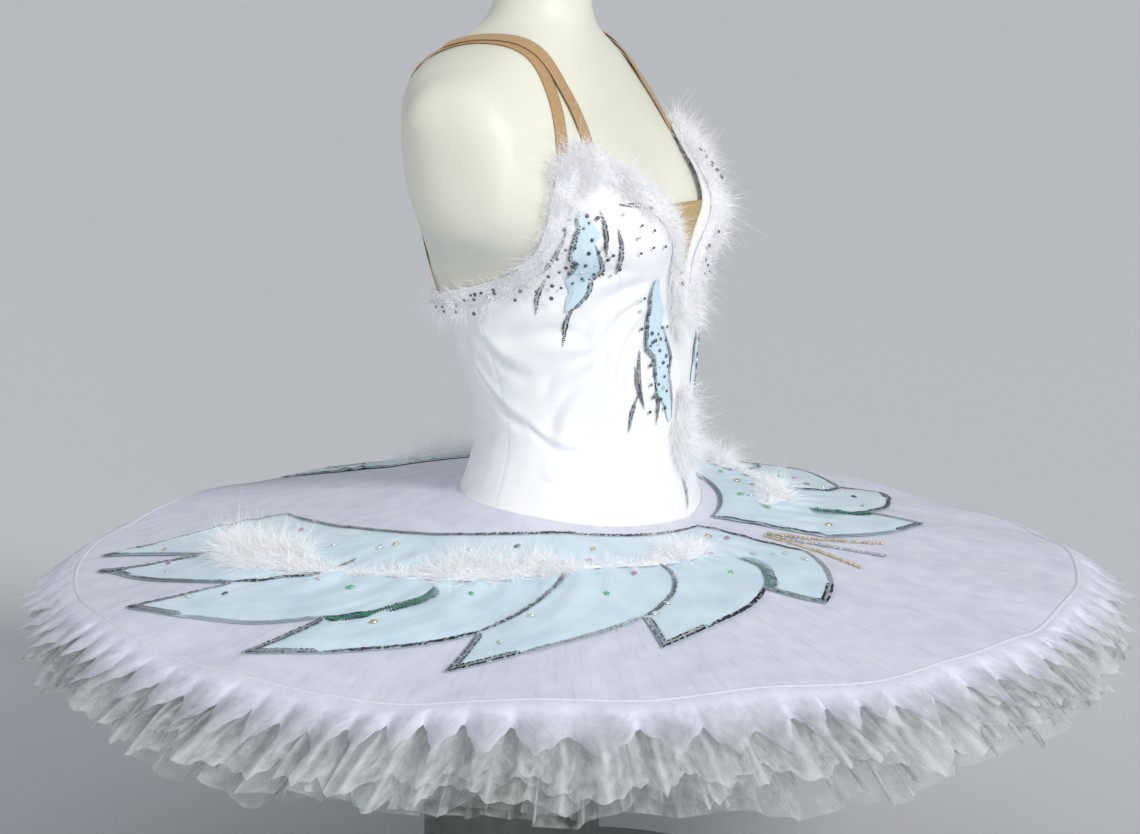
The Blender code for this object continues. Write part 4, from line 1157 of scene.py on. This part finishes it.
def figure_route(table, sign, count):
    rows, angle, height, turn, rise = sideways(table, sign, count)
    return angle, height, turn, rise, rows[:, 2], rows[:, 3], FUR_BASE


def plate_route(table, sign, count):
    rows = smooth_rows(table, count)
    angle, share = sign * rows[:, 0], rows[:, 1]
    centre = on_net(angle, share, 0)
    across = unit(np.cross(plate_normal(angle, share), unit(np.gradient(centre, axis=0))))
    outward = on_net(angle, share + 0.01, 0) - centre
    round_it = on_net(angle + 0.5, share, 0) - on_net(angle - 0.5, share, 0)
    da = (across * round_it).sum(-1) / (round_it**2).sum(-1)
    ds = (across * outward).sum(-1) / (outward**2).sum(-1) * 0.01
    return angle, share, da, ds, rows[:, 2], rows[:, 3], WING_LIFT + 0.0010


def all_fur():
    for side, sign in SIDES:
        route = figure_route(FUR_NECKLINE, sign, 180)
        make_fur(f"fur_neckline_{side}", route, on_figure, 21000, 0.0155, 200 + sign)
        route = plate_route(FUR_WING, sign, 200)
        make_fur(f"fur_wing_{side}", route, on_net, 20000, 0.0185, 300 + sign, 0.9)
    make_fur("fur_centre", figure_route(FUR_CENTRE, 1, 60), on_figure, 7000, 0.014, 210)


# ---- the build
make_form()
paint("form_column", STAND_PAINT)
paint("form_base", STAND_PAINT)
make_knickers()
make_insert()
make_edges()
for side, sign in SIDES:
    make_bodice(side, sign)
    make_strap(f"strap_outer_{side}", OUTER_STRAP, sign, -0.0010)
    make_strap(f"strap_inner_{side}", INNER_STRAP, sign, 0.0010)
for number, ruffle in enumerate(RUFFLES, 1):
    make_ruffle(number, *ruffle)
make_plate()
make_hoop()
for side, sign in SIDES:
    make_wing(side, sign)
    make_motif(f"motif_cup_{side}", MOTIF_CUP, sign)
    make_motif(f"motif_front_{side}", MOTIF_FRONT, sign)
    wing_sequins(sign)
    motif_sequins(MOTIF_CUP, sign)
    motif_sequins(MOTIF_FRONT, sign)
    motif_sequins(LEAF_CUP, sign, leaf=True)
    motif_sequins(LEAF_FRONT, sign, leaf=True)
    for places in BODICE_STROKES:
        stroke(places, sign)
    bodice_stones(sign)
    skirt_stones(sign)
stroke(((-1, 0.452), (0.5, 0.436), (0, 0.422)), 1, BOLD)
bead_strands()
for kind in (*sequins.values(), *stones.values(), *beads.values()):
    kind.build()
all_fur()

# ---- floor, lights and camera
bpy.ops.mesh.primitive_plane_add(size=80, location=(0, 0, -0.0005))
floor = bpy.context.object
floor.name = "floor"
floor.data.materials.append(new_material("floor_paint", (0.63, 0.64, 0.66), 0.9, specular=0.1)[0])

world = bpy.data.worlds.new("studio")
world.use_nodes = True
sky = world.node_tree.nodes["Background"].inputs
sky["Color"].default_value = (0.80, 0.83, 0.88, 1)
sky["Strength"].default_value = 0.52
scene.world = world
scene.view_settings.view_transform = "Standard"


def add_light(name, kind, place, power, colour, **shape):
    data = bpy.data.lights.new(name, kind)
    data.energy = power
    data.color = colour
    for key, value in shape.items():
        setattr(data, key, value)
    light = bpy.data.objects.new(name, data)
    light.location = place
    light.rotation_euler = (Vector((0, 0, 0.5)) - light.location).to_track_quat("-Z", "Y").to_euler()
    scene.collection.objects.link(light)


add_light("fill", "AREA", (-2.2, 2.6, 1.8), 11, (0.90, 0.95, 1.0), size=2.4)
add_light("key", "SUN", (-1.5, -2.5, 2.2), 2.00, (1.0, 0.99, 0.97), angle=math.radians(14))
add_light("low_fill", "SUN", (-2.4, -1.6, 0.80), 0.44, (1.0, 1.0, 1.0), angle=math.radians(11))

AZIMUTH, ELEVATION, DISTANCE = math.radians(-68), math.radians(11), 2.8
PHOTO_WIDTH, PHOTO_SCALE = 1140, 1030  # pixels, and pixels for each metre at the body's axis
SENSOR = 36
forward = Vector((math.sin(-AZIMUTH), math.cos(AZIMUTH), 0))
right = Vector((forward.y, -forward.x, 0))
target = Vector((0, 0, 0.503)) - right * 0.006
look = forward * math.cos(ELEVATION) - Vector((0, 0, math.sin(ELEVATION)))
camera_data = bpy.data.cameras.new("camera")
camera_data.sensor_width = SENSOR
camera_data.lens = PHOTO_SCALE * DISTANCE / PHOTO_WIDTH * SENSOR
camera = bpy.data.objects.new("camera", camera_data)
camera.location = target - look * DISTANCE
camera.rotation_euler = look.to_track_quat("-Z", "Y").to_euler()
scene.collection.objects.link(camera)
scene.camera = camera
